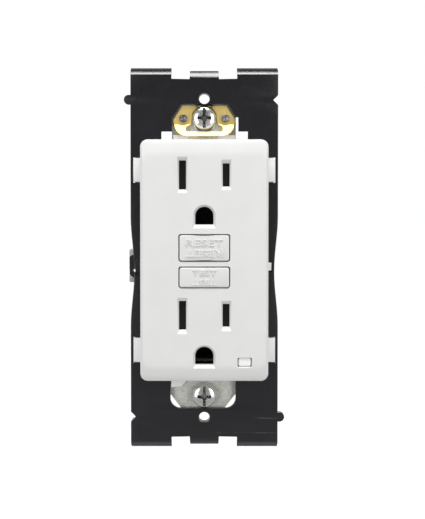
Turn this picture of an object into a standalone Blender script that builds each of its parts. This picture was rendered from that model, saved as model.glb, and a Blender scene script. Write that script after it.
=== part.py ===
"""A ground-fault receptacle with its clip-on adapter plate, as separate solids.

Frame: X to the right of someone facing the wall, Y into the wall, Z up.
The origin is the device's centre on the wall plane, which is the back of the metal strap.
All sizes below are in millimetres; the scene is in metres.
"""
import math

import bmesh
import bpy
from mathutils import Matrix, Vector

MM = 0.001
GAP = 0.3                      # room between two pieces that touch
WELD = 1e-6

# Depths, front is -Y
STRAP_THICK = 1.3
CLIP_FRONT, CLIP_BACK = -2.2, -1.6
HEAD_BACK, HEAD_FRONT = -2.5, -4.6
PANEL_FRONT, PANEL_BACK, SKIRT_BACK = -2.9, -1.6, -0.2
COVER_FRONT, COVER_WALL, COVER_BACK = -7.9, 1.4, 0.0
FACE_FRONT, FACE_WALL, FACE_BACK = -11.4, 1.7, -4.4
REAR_FRONT, REAR_BACK, REAR_WALL = 0.3, 27.0, 1.6

# Adapter plate
PLATE_HALF_W, PLATE_HALF_H = 22.35, 58.0
NOTCH_FLOOR = 54.4
CENTRE_TAB_HALF, CENTRE_TAB_TOP, CORNER_TAB_INNER = 4.3, 57.5, 9.95
WINDOW_TOP, WINDOW_BOTTOM = 35.5, -36.4
WALLPLATE_HOLE_Z, WALLPLATE_HOLE_R = 48.42, 1.6
PINCH_DEPTH, PINCH_CENTRE, PINCH_HALF = 1.1, -3.85, 16.85
EAR_OUT, EAR_UPPER, EAR_LOWER = 21.45, (23.2, 30.45), (-31.45, -24.1)

# Face and receptacles
FACE_HALF_W, FACE_HALF_H, FACE_CORNER = 18.7, 35.3, 2.2
SLOT_X = 6.35
UPPER_SLOT_Z, LOWER_SLOT_Z = 24.9, -16.0
UPPER_GROUND_Z, LOWER_GROUND_Z = 13.0, -27.85
NEUTRAL_SLOT, HOT_SLOT = (2.05, 8.4), (2.0, 6.7)
GROUND_R, GROUND_FLAT = 2.65, 2.5
RESET_Z, RESET_OPENING, RESET_CAP = 3.7, (15.0, 8.0), (14.4, 7.4)
TEST_Z, TEST_OPENING, TEST_CAP = -4.85, (15.0, 6.3), (14.4, 5.7)
BUTTON_FRONT, BUTTON_BACK = -11.65, -7.4
LENS_X, LENS_Z, LENS_SIZE = 11.8, -29.9, (4.1, 2.7)
SHUTTER_TRAVEL = 3.0

# Fixings
MOUNT_Z = 41.67  # 83.3 mm between the mounting slots
UPPER_SCREW_Z, LOWER_SCREW_Z = 42.4, -41.67  # the upper screw hangs off the middle of its slot
MOUNT_HEAD_R, MOUNT_SHANK_R, MOUNT_TIP = 3.55, 1.75, 17.5
CLIP_RIVET_X, CLIP_RIVET_Z = 6.4, 42.5
CASE_SCREW_X, CASE_SCREW_Z = 16.0, 30.8
TERMINAL_Z, TERMINAL_Y = 17.0, 12.0
CLAMP_THICK, CLAMP_IN = 1.2, 15.6

parts = bpy.data.collections.new("ground_fault_outlet")
cutters = bpy.data.collections.new("cutters")
materials = {}


def clear_scene():
    for old in list(bpy.data.objects):
        bpy.data.objects.remove(old, do_unlink=True)
    for collection in (parts, cutters):
        bpy.context.scene.collection.children.link(collection)


def make_materials():
    looks = {
        "black_plastic": ((0.02, 0.02, 0.024), 0.45, 0.0),
        "white_plastic": ((0.80, 0.80, 0.79), 0.35, 0.0),
        "shutter_grey": ((0.06, 0.06, 0.06), 0.5, 0.0),
        "clear_plastic": ((0.85, 0.87, 0.87), 0.15, 0.0),
        "zinc_steel": ((0.60, 0.60, 0.57), 0.45, 1.0),
        "brass": ((0.62, 0.44, 0.20), 0.35, 1.0),
        "bronze": ((0.70, 0.40, 0.22), 0.35, 1.0),
        "green_steel": ((0.05, 0.30, 0.12), 0.35, 1.0),
        "dark_insulator": ((0.08, 0.08, 0.09), 0.5, 0.0),
        "board_green": ((0.03, 0.22, 0.09), 0.5, 0.0),
        "copper": ((0.72, 0.32, 0.16), 0.3, 1.0),
        "component_blue": ((0.05, 0.12, 0.45), 0.4, 0.0),
        "grey_plastic": ((0.45, 0.46, 0.47), 0.4, 0.0),
    }
    for name, (colour, roughness, metallic) in looks.items():
        made = bpy.data.materials.new(name)
        made.use_nodes = True
        shader = made.node_tree.nodes["Principled BSDF"]
        shader.inputs["Base Color"].default_value = (*colour, 1.0)
        shader.inputs["Roughness"].default_value = roughness
        shader.inputs["Metallic"].default_value = metallic
        materials[name] = made


# ---- shapes -------------------------------------------------------------------------

def place(name, mesh, matrix=None, material=None):
    """Put a mesh in the scene: a part when it has a material, a cutter when it has none."""
    made = bpy.data.objects.new(name, mesh)
    if matrix:
        made.matrix_world = matrix
    if material:
        mesh.materials.clear()
        mesh.materials.append(materials[material])
        parts.objects.link(made)
    else:
        made.hide_render = True
        made.display_type = 'WIRE'
        cutters.objects.link(made)
    return made


def arc(cx, cz, radius, start, end, steps):
    """Points on an arc, angles in degrees counted from +X."""
    angles = [math.radians(start + (end - start) * i / steps) for i in range(steps + 1)]
    return [(cx + radius * math.cos(a), cz + radius * math.sin(a)) for a in angles]


def circle(cx, cz, radius, steps=24):
    return arc(cx, cz, radius, 0.0, 360.0, steps)[:-1]


def rounded(corners, radius, steps=3):
    """A closed outline whose corners are arcs of one radius."""
    outline = []
    count = len(corners)
    for i, here in enumerate(corners):
        corner = Vector(here)
        back = (Vector(corners[i - 1]) - corner)
        ahead = (Vector(corners[(i + 1) % count]) - corner)
        half = back.angle(ahead) / 2
        reach = min(radius / math.tan(half), 0.49 * back.length, 0.49 * ahead.length)
        start, end = corner + back.normalized() * reach, corner + ahead.normalized() * reach
        for k in range(steps + 1):
            t = k / steps
            point = (1 - t) ** 2 * start + 2 * t * (1 - t) * corner + t * t * end
            outline.append((point.x, point.y))
    return outline


def rectangle(cx, cz, width, height, radius=0.0, steps=3):
    x, z = width / 2, height / 2
    corners = [(cx - x, cz - z), (cx + x, cz - z), (cx + x, cz + z), (cx - x, cz + z)]
    return rounded(corners, radius, steps) if radius else corners


def extruded(name, loops, start, end, material=None, axis="Y"):
    """A slab of an outline and its holes, from start to end along an axis.

    Outline points are (x, z) for axis Y, (y, z) for axis X and (x, y) for axis Z.
    """
    curve = bpy.data.curves.new(name, 'CURVE')
    curve.dimensions = '2D'
    curve.fill_mode = 'BOTH'
    curve.extrude = abs(end - start) / 2 * MM
    for loop in loops:
        spline = curve.splines.new('POLY')
        spline.points.add(len(loop) - 1)
        for point, (u, v) in zip(spline.points, loop):
            point.co = (u * MM, v * MM, 0.0, 1.0)
        spline.use_cyclic_u = True
    turns = {"X": ((0, 0, 1), (1, 0, 0), (0, 1, 0)), "Y": ((1, 0, 0), (0, 0, -1), (0, 1, 0)),
             "Z": ((1, 0, 0), (0, 1, 0), (0, 0, 1))}
    middle = Vector([(start + end) / 2 * MM * (a == axis) for a in "XYZ"])
    matrix = Matrix.Translation(middle) @ Matrix(turns[axis]).to_4x4()
    return meshed(name, curve, matrix, material, tidy_caps=len(loops) == 1)


def meshed(name, curve, matrix, material, tidy_caps=False):
    """The closed mesh of a curve, with its caps welded on."""
    guide = bpy.data.objects.new(name, curve)
    parts.objects.link(guide)
    bpy.context.view_layer.update()
    evaluated = guide.evaluated_get(bpy.context.evaluated_depsgraph_get())
    mesh = bpy.data.meshes.new_from_object(evaluated)
    bpy.data.objects.remove(guide)
    work = bmesh.new()
    work.from_mesh(mesh)
    bmesh.ops.remove_doubles(work, verts=work.verts, dist=WELD)
    if tidy_caps:
        bmesh.ops.dissolve_limit(work, angle_limit=0.01, verts=work.verts, edges=work.edges)
    bmesh.ops.recalc_face_normals(work, faces=work.faces)
    work.to_mesh(mesh)
    work.free()
    return place(name, mesh, matrix, material)


def box(name, low, high, material=None):
    low, high = Vector(low), Vector(high)
    work = bmesh.new()
    bmesh.ops.create_cube(work, size=MM)
    bmesh.ops.scale(work, vec=high - low, verts=work.verts)
    mesh = bpy.data.meshes.new(name)
    work.to_mesh(mesh)
    work.free()
    return place(name, mesh, Matrix.Translation((low + high) / 2 * MM), material)


def rod(name, centre, radius, start, end, axis="Y", material=None, steps=24, tip=None):
    """A round bar; centre is (x, z), (y, z) or (x, y) for axis Y, X or Z."""
    work = bmesh.new()
    bmesh.ops.create_cone(work, cap_ends=True, segments=steps, radius1=radius * MM,
                          radius2=(radius if tip is None else tip) * MM, depth=(end - start) * MM)
    mesh = bpy.data.meshes.new(name)
    work.to_mesh(mesh)
    work.free()
    u, v = centre
    middle = (start + end) / 2
    where = {"X": (middle, u, v), "Y": (u, middle, v), "Z": (u, v, middle)}[axis]
    turn = {"X": Matrix.Rotation(math.pi / 2, 4, 'Y'), "Y": Matrix.Rotation(-math.pi / 2, 4, 'X'),
            "Z": Matrix.Identity(4)}[axis]
    made = place(name, mesh, Matrix.Translation(Vector(where) * MM) @ turn, material)
    shade(made)
    return made


def coil(name, centre, radius, wire, start, end, turns, axis="Y", material="zinc_steel"):
    """A helical spring along an axis."""
    per_turn = 9
    curve = bpy.data.curves.new(name, 'CURVE')
    curve.dimensions = '3D'
    curve.bevel_depth = wire * MM
    curve.bevel_resolution = 1
    curve.use_fill_caps = True
    spline = curve.splines.new('POLY')
    count = turns * per_turn + 1
    spline.points.add(count - 1)
    for i, point in enumerate(spline.points):
        angle = 2 * math.pi * i / per_turn
        along = start + (end - start) * i / (count - 1)
        u = centre[0] + radius * math.cos(angle)
        v = centre[1] + radius * math.sin(angle)
        where = {"X": (along, u, v), "Y": (u, along, v), "Z": (u, v, along)}[axis]
        point.co = (*(Vector(where) * MM), 1.0)
    return meshed(name, curve, Matrix.Identity(4), material)


def shade(made, angle=35.0):
    made.data.shade_smooth()
    made.data.set_sharp_from_angle(angle=math.radians(angle))


def combine(target, pieces, operation):
    for piece in pieces:
        step = target.modifiers.new(operation.title() + " " + piece.name, 'BOOLEAN')
        step.operation = operation
        step.solver = 'EXACT'
        step.object = piece
    return target


def cut(target, *pieces):
    return combine(target, pieces, 'DIFFERENCE')


def join(target, *pieces):
    return combine(target, pieces, 'UNION')


def ease(target, width, angle=40.0, segments=1):
    """Round or chamfer the sharp edges of a piece."""
    step = target.modifiers.new("Ease", 'BEVEL')
    step.width = width * MM
    step.segments = segments
    step.limit_method = 'ANGLE'
    step.angle_limit = math.radians(angle)
    return target


# ---- adapter plate ------------------------------------------------------------------

def plate_side(side, nub_z, notch_z, inset=0.0):
    """One long edge of the adapter plate, bottom to top, on side -1 or +1."""
    nub_r, nub_out, notch_depth, notch_half = 1.45, 0.55, 1.5, 1.5
    edge = PLATE_HALF_W - inset
    nub = [(edge, nub_z - nub_r)] + arc(edge + nub_out, nub_z, nub_r, -90, 90, 8) + [(edge, nub_z + nub_r)]
    notch = [(edge, notch_z - notch_half), (edge - notch_depth, notch_z), (edge, notch_z + notch_half)]
    steps = 8
    pinch = []
    for i in range(steps + 1):
        z = PINCH_CENTRE - PINCH_HALF + 2 * PINCH_HALF * i / steps
        depth = PINCH_DEPTH * (1 + math.cos(math.pi * (z - PINCH_CENTRE) / PINCH_HALF)) / 2
        pinch.append((edge - depth, z))
    features = sorted([nub, notch, pinch], key=lambda points: points[0][1])
    return [(side * x, z) for points in features for x, z in points]


def plate_outline():
    half_top = [(PLATE_HALF_W, PLATE_HALF_H), (CORNER_TAB_INNER, PLATE_HALF_H),
                (CORNER_TAB_INNER, NOTCH_FLOOR), (CENTRE_TAB_HALF + 0.15, NOTCH_FLOOR - 0.1),
                (CENTRE_TAB_HALF, CENTRE_TAB_TOP)]
    top = half_top + [(-x, z) for x, z in reversed(half_top)]
    bottom = [(-x, -z) for x, z in top]
    right = plate_side(1, -48.3, 48.0)
    left = plate_side(-1, 48.1, -48.2)
    return right + top + list(reversed(left)) + bottom


def plate_window():
    """The opening for the device: a tall rectangle, four ear notches and two necks."""
    side, ear = 18.9, EAR_OUT + 0.2
    room = 0.2
    (low_top, high_top), (low_bottom, high_bottom) = EAR_UPPER, EAR_LOWER
    right = [(side, WINDOW_BOTTOM)]
    for low, high in ((low_bottom - room, high_bottom + room), (low_top - room, high_top + room)):
        right += [(side, low), (ear, low), (ear, high), (side, high)]
    right += [(side, WINDOW_TOP)]
    top = [(9.8, WINDOW_TOP), (9.8, 42.5), (7.0, 46.75), (-7.0, 46.75), (-9.8, 42.5), (-9.8, WINDOW_TOP)]
    left = [(-x, z) for x, z in reversed(right)]
    bottom = [(-10.3, WINDOW_BOTTOM)] + arc(-7.1, -42.5, 3.2, 180, 270, 4)
    bottom += arc(6.3, -42.5, 3.2, 270, 360, 4) + [(9.5, WINDOW_BOTTOM)]
    return right + top + left + bottom


def make_adapter_plate():
    holes = [circle(0.0, side * WALLPLATE_HOLE_Z, WALLPLATE_HOLE_R) for side in (-1, 1)]
    plate = extruded("adapter_plate", [plate_outline(), plate_window(), *holes],
                     PANEL_FRONT, PANEL_BACK, "black_plastic")
    rail_in = EAR_OUT + 0.3
    rails = []
    for side in (-1, 1):
        for low, high in ((-57.0, -21.3), (14.1, 57.0)):
            rail_x = sorted((side * rail_in, side * (PLATE_HALF_W - 0.05)))
            rails.append(box("rail", (rail_x[0], PANEL_BACK - 0.4, low), (rail_x[1], SKIRT_BACK, high)))
        lip_end = PLATE_HALF_W - 0.05
        for low, high in ((CORNER_TAB_INNER, lip_end), (-lip_end, -CORNER_TAB_INNER)):
            ends = sorted((side * 56.2, side * (PLATE_HALF_H - 0.05)))
            rails.append(box("tab_lip", (low, PANEL_BACK - 0.4, ends[0]), (high, SKIRT_BACK, ends[1])))
        ends = sorted((side * 53.0, side * 55.4))
        rails.append(box("centre_lip", (-CENTRE_TAB_HALF + 0.1, PANEL_BACK - 0.4, ends[0]),
                         (CENTRE_TAB_HALF - 0.1, SKIRT_BACK, ends[1])))
    join(plate, *rails)
    slopes = []
    for side in (-1, 1):
        corner = [(PANEL_FRONT - 1.0, side * 54.2), (PANEL_FRONT + 1.9, side * 58.5),
                  (PANEL_FRONT - 1.0, side * 58.5)]
        centre = [(PANEL_FRONT - 1.0, side * 53.0), (PANEL_FRONT + 1.6, side * 57.9),
                  (PANEL_FRONT - 1.0, side * 57.9)]
        slopes.append(extruded("corner_slope", [corner], CORNER_TAB_INNER - 0.2, 23.0, axis="X"))
        slopes.append(extruded("corner_slope", [corner], -23.0, -CORNER_TAB_INNER + 0.2, axis="X"))
        slopes.append(extruded("centre_slope", [centre], -CENTRE_TAB_HALF - 0.4, CENTRE_TAB_HALF + 0.4,
                               axis="X"))
    cut(plate, *slopes)
    loop = extruded("left_loop", [rounded([(-19.2, -7.0), (-19.2, 1.0), (-22.7, 1.0), (-22.7, -5.0)], 0.9)],
                    PANEL_BACK - 1.0, 0.0)
    join(plate, loop)
    join(plate, box("right_loop", (19.2, PANEL_BACK - 0.5, -5.2), (21.2, 0.0, -0.4)))
    eye = rounded([(-20.1, -5.4), (-20.1, -0.4), (-21.7, -0.4), (-21.7, -4.0)], 0.4)
    cut(plate, extruded("left_eye", [eye], -4.0, 3.0))
    cut(plate, box("right_eye", (18.4, -4.0, -4.1), (20.6, 3.0, -1.2)))
    return plate


# ---- strap, clip and their fixings --------------------------------------------------

def strap_outline():
    half = [(13.4, -33.5), (13.4, 33.5), (10.3, 36.5), (10.3, 42.6), (7.3, 47.1)]
    left = [(-x, z) for x, z in reversed(half)]
    bottom = [(-13.4, -33.5), (-10.8, -36.0), (-10.8, -41.2), (-7.0, -46.2), (6.1, -46.2), (10.0, -41.2),
              (10.0, -36.0)]
    return half + left[:-2] + [(-13.4, 33.5)] + bottom


def make_strap():
    screw_slots = [rectangle(0.0, z, 6.4, 5.4, 2.1) for z in (MOUNT_Z, -MOUNT_Z)]
    rivets = [circle(side * CLIP_RIVET_X, CLIP_RIVET_Z, 1.0, 12) for side in (-1, 1)]
    grounds = [ground_hole(z, 0.5) for z in (UPPER_GROUND_Z, LOWER_GROUND_Z)]
    upper = rectangle(0.0, 24.6, 22.8, 14.2, 1.0, 1)
    middle = rectangle(0.0, -6.7, 22.8, 32.4, 1.0, 1)
    lens = rectangle(LENS_X - 0.6, LENS_Z, 3.6, 3.6)
    return extruded("strap", [strap_outline(), *screw_slots, *rivets, *grounds, upper, middle, lens],
                    -STRAP_THICK, 0.0, "zinc_steel")


def make_clip():
    """The brass grounding clip: a flat hexagonal head and a tongue bent forward."""
    profile = [(CLIP_BACK, 47.0), (CLIP_FRONT, 47.0), (CLIP_FRONT, 40.8), (-3.35, 38.9), (-4.2, 36.9),
               (-3.6, 36.9), (-2.8, 38.9), (CLIP_BACK, 40.5)]
    clip = extruded("ground_clip", [profile], -9.8, 9.8, "brass", axis="X")
    front = [(-9.4, 38.4), (-7.6, 36.6), (7.6, 36.6), (9.4, 38.4), (9.4, 42.2), (6.7, 46.4), (-6.7, 46.4),
             (-9.4, 42.2)]
    trim = extruded("clip_trim", [rectangle(0.0, 42.0, 30.0, 30.0), front], -6.0, 1.0)
    relief = extruded("clip_relief", [rectangle(0.0, 40.15, 10.6, 4.9, 1.6)], -6.0, 1.0)
    screw_hole = rod("clip_hole", (0.0, UPPER_SCREW_Z), 3.2, -6.0, 1.0, steps=20)
    rivets = [rod("rivet_hole", (side * CLIP_RIVET_X, CLIP_RIVET_Z), 1.0, -6.0, 1.0, steps=12)
              for side in (-1, 1)]
    return cut(clip, trim, relief, screw_hole, *rivets)


def make_rivets():
    for side, name in ((-1, "left_clip_rivet"), (1, "right_clip_rivet")):
        centre = (side * CLIP_RIVET_X, CLIP_RIVET_Z)
        rivet = rod(name, centre, 0.7, -2.7, 0.5, material="zinc_steel", steps=12)
        head = rod("rivet_head", centre, 1.2, -2.9, -2.5, steps=12)
        tail = rod("rivet_tail", centre, 1.2, 0.3, 0.7, steps=12)
        join(rivet, head, tail)


def make_mounting_screws():
    for name, z in (("upper", UPPER_SCREW_Z), ("lower", LOWER_SCREW_Z)):
        screw = rod(name + "_mounting_screw", (0.0, z), MOUNT_SHANK_R, HEAD_BACK - 0.2, MOUNT_TIP,
                    material="zinc_steel", steps=16)
        head = rod("screw_head", (0.0, z), 2.9, HEAD_FRONT, HEAD_BACK, tip=MOUNT_HEAD_R, steps=32)
        join(screw, head)
        slot = box("drive_slot", (-0.45, -6.0, z - 3.0), (0.45, HEAD_FRONT + 1.1, z + 3.0))
        cross = box("drive_cross", (-2.0, -6.0, z - 0.45), (2.0, HEAD_FRONT + 1.1, z + 0.45))
        square = box("drive_square", (-1.05, -6.0, z - 1.05), (1.05, HEAD_FRONT + 1.4, z + 1.05))
        cut(screw, slot, cross, square)
        ring = [circle(0.0, z, 3.3, 20), circle(0.0, z, MOUNT_SHANK_R + GAP, 20)]
        extruded(name + "_screw_retainer", ring, 3.0, 3.8, "shutter_grey")


# ---- front cover, face, buttons and shutters ----------------------------------------

def ground_hole(z, grow=0.0):
    radius, flat = GROUND_R + grow, GROUND_FLAT + grow
    return arc(0.0, z, radius, 0, 180, 10) + [(-radius, z - flat), (radius, z - flat)]


def blade_slots(slot_z, grow=0.0):
    slots = []
    for side, (width, height) in ((-1, NEUTRAL_SLOT), (1, HOT_SLOT)):
        slots.append(rectangle(side * SLOT_X, slot_z, width + grow, height + grow))
    return slots


def receptacle_holes(grow=0.0):
    holes = [ground_hole(z, grow / 2) for z in (UPPER_GROUND_Z, LOWER_GROUND_Z)]
    for z in (UPPER_SLOT_Z, LOWER_SLOT_Z):
        holes += blade_slots(z, grow)
    return holes


def make_front_cover():
    """The white cover: a tray with a front wall, a well for the buttons and four ears."""
    half_w, half_h, wall = 17.0, 33.6, 1.3
    outer = rectangle(0.0, 0.0, 2 * half_w, 2 * half_h, 1.6)
    cover = extruded("front_cover", [outer], COVER_FRONT, COVER_BACK, "white_plastic")
    inner = rectangle(0.0, 0.0, 2 * (half_w - wall), 2 * (half_h - wall), 0.6)
    cut(cover, extruded("cover_room", [inner], COVER_FRONT + COVER_WALL, 3.0))
    for side in (-1, 1):
        ends = sorted((side * 33.0, side * 35.0))
        join(cover, box("end_flange", (-15.5, -4.0, ends[0]), (15.5, -1.6, ends[1])))
    for side in (-1, 1):
        for low, high in (EAR_UPPER, EAR_LOWER):
            across = sorted((side * (half_w - 0.5), side * EAR_OUT))
            join(cover, box("ear", (across[0], -3.3, low), (across[1], -1.6, high)))
    for low, high in ((-12.9, -9.7), (10.0, 13.1)):
        join(cover, box("hook", (low, -4.1, 34.6), (high, -3.2, 38.3)))
    for low, high in ((-9.5, -4.8), (4.2, 9.5)):
        join(cover, box("end_lip", (low, -2.3, 34.6), (high, -1.7, 37.5)))
    join(cover, box("end_rib", (9.45, -3.9, 34.6), (10.25, -3.3, 42.6)))
    join(cover, box("side_latch", (half_w - 0.5, -3.2, -3.8), (20.3, -1.9, -1.5)))
    foot = [(-10.0, -34.6), (-5.7, -34.6), (-5.7, -37.3), (-7.0, -38.6), (-10.0, -39.0)]
    join(cover, extruded("foot", [foot], -3.8, -1.8))
    for side in (-1, 1):
        ends = sorted((side * 31.0, side * 34.5))
        cut(cover, box("strap_gate", (-13.8, -1.6, ends[0]), (13.8, 1.0, ends[1])))
    well_out = rectangle(0.0, -0.1, 16.8, 18.2)
    join(cover, extruded("well", [well_out], COVER_FRONT + 0.4, 1.7))
    well_in = rectangle(0.0, -0.1, 15.2, 16.6)
    cut(cover, extruded("well_room", [well_in], COVER_FRONT - 1.0, 0.6))
    stems = [rod("stem_hole", (0.0, z), 1.9, -1.0, 3.0, steps=16) for z in (RESET_Z, TEST_Z)]
    cut(cover, *stems)
    for side_x in (-1, 1):
        for side_z in (-1, 1):
            centre = (side_x * CASE_SCREW_X, side_z * CASE_SCREW_Z)
            join(cover, rod("boss", centre, 2.3, -4.0, 0.0, steps=16))
    for side_x in (-1, 1):
        for side_z in (-1, 1):
            centre = (side_x * CASE_SCREW_X, side_z * CASE_SCREW_Z)
            cut(cover, rod("boss_hole", centre, 1.5, -5.6, 1.0, steps=12))
    for number, hole in enumerate(receptacle_holes(0.8)):
        cut(cover, extruded("contact_hole_%d" % number, [hole], COVER_FRONT - 1.0, -5.5))
    lens = rectangle(LENS_X - 0.6, LENS_Z, 3.5, 3.4)
    cut(cover, extruded("lens_hole", [lens], COVER_FRONT - 1.0, -5.5))
    return cover


def face_openings():
    openings = receptacle_holes()
    openings.append(rectangle(0.0, RESET_Z, *RESET_OPENING, 0.6, 2))
    openings.append(rectangle(0.0, TEST_Z, *TEST_OPENING, 0.6, 2))
    openings.append(rectangle(LENS_X, LENS_Z, *LENS_SIZE))
    return openings


def make_face():
    outer = rectangle(0.0, 0.0, 2 * FACE_HALF_W, 2 * FACE_HALF_H, FACE_CORNER, 4)
    face = extruded("front_face", [outer], FACE_FRONT, FACE_BACK, "white_plastic")
    ease(face, 0.9, 60.0, 3)
    inner = rectangle(0.0, 0.0, 2 * (FACE_HALF_W - 1.3), 2 * (FACE_HALF_H - 1.3), 1.2, 2)
    cut(face, extruded("face_room", [inner], FACE_FRONT + FACE_WALL, 0.0))
    for number, loop in enumerate(face_openings()):
        cut(face, extruded("face_opening_%d" % number, [loop], FACE_FRONT - 1.0, FACE_FRONT + 3.0))
    return face


def make_buttons():
    buttons = (("reset_button", RESET_Z, RESET_CAP, -2.0), ("test_button", TEST_Z, TEST_CAP, 2.0))
    for name, z, (width, height), stem_end in buttons:
        cap = extruded(name, [rectangle(0.0, z, width, height, 0.5, 2)], BUTTON_FRONT, BUTTON_BACK,
                       "white_plastic")
        ease(cap, 0.35, 60.0, 2)
        join(cap, rod(name + "_stem", (0.0, z), 1.5, BUTTON_BACK - 0.5, stem_end, steps=16))
    shoulder = rod("reset_pin", (0.0, RESET_Z), 1.1, -1.6, 20.0, material="zinc_steel", steps=12)
    groove = [circle(0.0, RESET_Z, 2.0, 12), circle(0.0, RESET_Z, 0.75, 12)]
    cut(shoulder, extruded("pin_groove", [groove[0], groove[1]], 18.2, 19.2))
    coil("reset_spring", (0.0, RESET_Z), 2.5, 0.28, -5.2, 0.1, 4)


def make_shutters():
    for name, z in (("upper", UPPER_SLOT_Z), ("lower", LOWER_SLOT_Z)):
        plate = rectangle(-1.7, z, 20.2, 9.4, 0.5, 1)
        windows = [rectangle(side * SLOT_X - SHUTTER_TRAVEL, z, 2.3, 7.2) for side in (-1, 1)]
        extruded(name + "_shutter", [plate, *windows], -9.5, -8.2, "shutter_grey")
        coil(name + "_shutter_spring", (-8.8, z), 0.62, 0.14, 11.9, 16.7, 6, axis="X")


def make_lens():
    lens = extruded("status_lens", [rectangle(LENS_X, LENS_Z, LENS_SIZE[0] - 0.3, LENS_SIZE[1] - 0.3)],
                    -11.0, -8.6, "clear_plastic")
    join(lens, extruded("light_pipe", [rectangle(LENS_X - 0.6, LENS_Z, 2.4, 2.2)], -9.0, 18.5))


# ---- rear case, terminals and case screws -------------------------------------------

def make_rear_case():
    half_w, half_h = 21.3, 34.2
    case = extruded("rear_case", [rectangle(0.0, 0.0, 2 * half_w, 2 * half_h, 2.0)], REAR_FRONT, REAR_BACK,
                    "grey_plastic")
    room = rectangle(0.0, 0.0, 2 * (half_w - REAR_WALL), 2 * (half_h - REAR_WALL), 1.0, 1)
    cut(case, extruded("case_room", [room], -1.0, REAR_BACK - REAR_WALL))
    for side_x in (-1, 1):
        for side_z in (-1, 1):
            window = sorted((side_x * 18.0, side_x * 23.0))
            low, high = sorted((side_z * 11.6, side_z * 22.4))
            cut(case, box("terminal_window", (window[0], 6.4, low), (window[1], 17.8, high)))
            for offset in (-3.0, 3.0):
                cut(case, rod("wire_hole", (side_x * 18.4, side_z * TERMINAL_Z + offset), 1.2, 24.0, 28.0,
                              steps=12))
            centre = (side_x * CASE_SCREW_X, side_z * CASE_SCREW_Z)
            join(case, rod("case_boss", centre, 2.3, 0.6, REAR_BACK - 0.5, steps=16))
    for low, high in ((-3.6, 2.6), (-7.6, -5.2)):
        join(case, box("side_block", (-23.2, 0.6, low), (-21.0, 5.5, high)))
    for side_x in (-1, 1):
        for side_z in (-1, 1):
            centre = (side_x * CASE_SCREW_X, side_z * CASE_SCREW_Z)
            cut(case, rod("case_hole", centre, 1.5, -1.0, 28.0, steps=12))
    return case


def make_case_screws():
    for x, side in ((-CASE_SCREW_X, "left"), (CASE_SCREW_X, "right")):
        for z, level in ((CASE_SCREW_Z, "upper"), (-CASE_SCREW_Z, "lower")):
            screw = rod("%s_%s_case_screw" % (level, side), (x, z), 1.15, -3.5, 28.0, material="zinc_steel",
                        steps=12)
            join(screw, rod("case_screw_head", (x, z), 2.4, 27.3, 28.9, steps=16))
            cut(screw, box("case_slot", (x - 1.6, 28.2, z - 0.3), (x + 1.6, 30.0, z + 0.3)),
                box("case_cross", (x - 0.3, 28.2, z - 1.6), (x + 0.3, 30.0, z + 1.6)))


def make_terminals():
    """Each terminal is a fixed plate, a screw and the clamp plate that the screw draws out."""
    for side, tone, metal in ((-1, "neutral", "zinc_steel"), (1, "hot", "brass")):
        for z, use in ((TERMINAL_Z, "load"), (-TERMINAL_Z, "line")):
            name = "%s_%s" % (use, tone)
            across = sorted((side * 19.9, side * 20.9))
            hole = circle(TERMINAL_Y, z, 2.2, 16)
            extruded(name + "_plate", [rectangle(TERMINAL_Y, z, 10.8, 10.2), hole], *across, metal, axis="X")
            shank = sorted((side * 13.4, side * 21.8))
            screw = rod(name + "_screw", (TERMINAL_Y, z), 1.9, *shank, axis="X", material=metal, steps=16)
            head = sorted((side * 21.2, side * 23.2))
            join(screw, rod("terminal_head", (TERMINAL_Y, z), 3.7, *head, axis="X", steps=24))
            slot = sorted((side * 22.2, side * 24.0))
            cut(screw, box("terminal_slot", (slot[0], TERMINAL_Y - 4.0, z - 0.5),
                           (slot[1], TERMINAL_Y + 4.0, z + 0.5)))
            clamp = sorted((side * CLAMP_IN, side * (CLAMP_IN + CLAMP_THICK)))
            extruded(name + "_clamp", [rectangle(TERMINAL_Y, z, 9.6, 9.2, 0.6, 1), hole], *clamp, metal,
                     axis="X")


def make_ground_screw():
    """The green screw on a tab of the strap's lower end, driven from the left."""
    screw = rod("ground_screw", (8.0, -38.6), 1.7, -13.0, -4.6, axis="X", material="green_steel", steps=16)
    join(screw, rod("ground_head", (8.0, -38.6), 4.0, -15.2, -12.9, axis="X", steps=6))
    cut(screw, box("ground_slot", (-16.0, 3.6, -39.0), (-14.2, 12.4, -38.2)))
    tab = extruded("ground_tab", [rectangle(6.4, -38.6, 12.2, 6.4, 1.0, 2), circle(8.0, -38.6, 2.0, 16)],
                   -12.6, -11.4, "zinc_steel", axis="X")
    join(tab, box("tab_foot", (-12.6, 0.3, -41.8), (-9.8, 1.2, -35.4)))


# ---- contacts and mechanism ---------------------------------------------------------

def make_carrier():
    """The inner carrier behind the contacts, with a cup for each blade and a middle opening."""
    outline = [(-13.0, -32.2), (13.0, -32.2), (13.0, -6.5), (19.3, -6.5), (19.3, 6.5), (13.0, 6.5),
               (13.0, 32.2), (-13.0, 32.2), (-13.0, 6.5), (-19.3, 6.5), (-19.3, -6.5), (-13.0, -6.5)]
    middle = rectangle(0.0, 0.5, 15.0, 20.0)
    lens = rectangle(LENS_X - 0.6, LENS_Z, 2.9, 3.0)
    carrier = extruded("contact_carrier", [outline, middle], 9.0, 10.5, "dark_insulator")
    cut(carrier, extruded("pipe_hole", [lens], 8.0, 12.0))
    for side in (-1, 1):
        rib = sorted((side * 11.6, side * 12.8))
        join(carrier, box("side_rib", (rib[0], 1.0, -21.0), (rib[1], 9.3, 30.0)))
    return carrier


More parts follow.
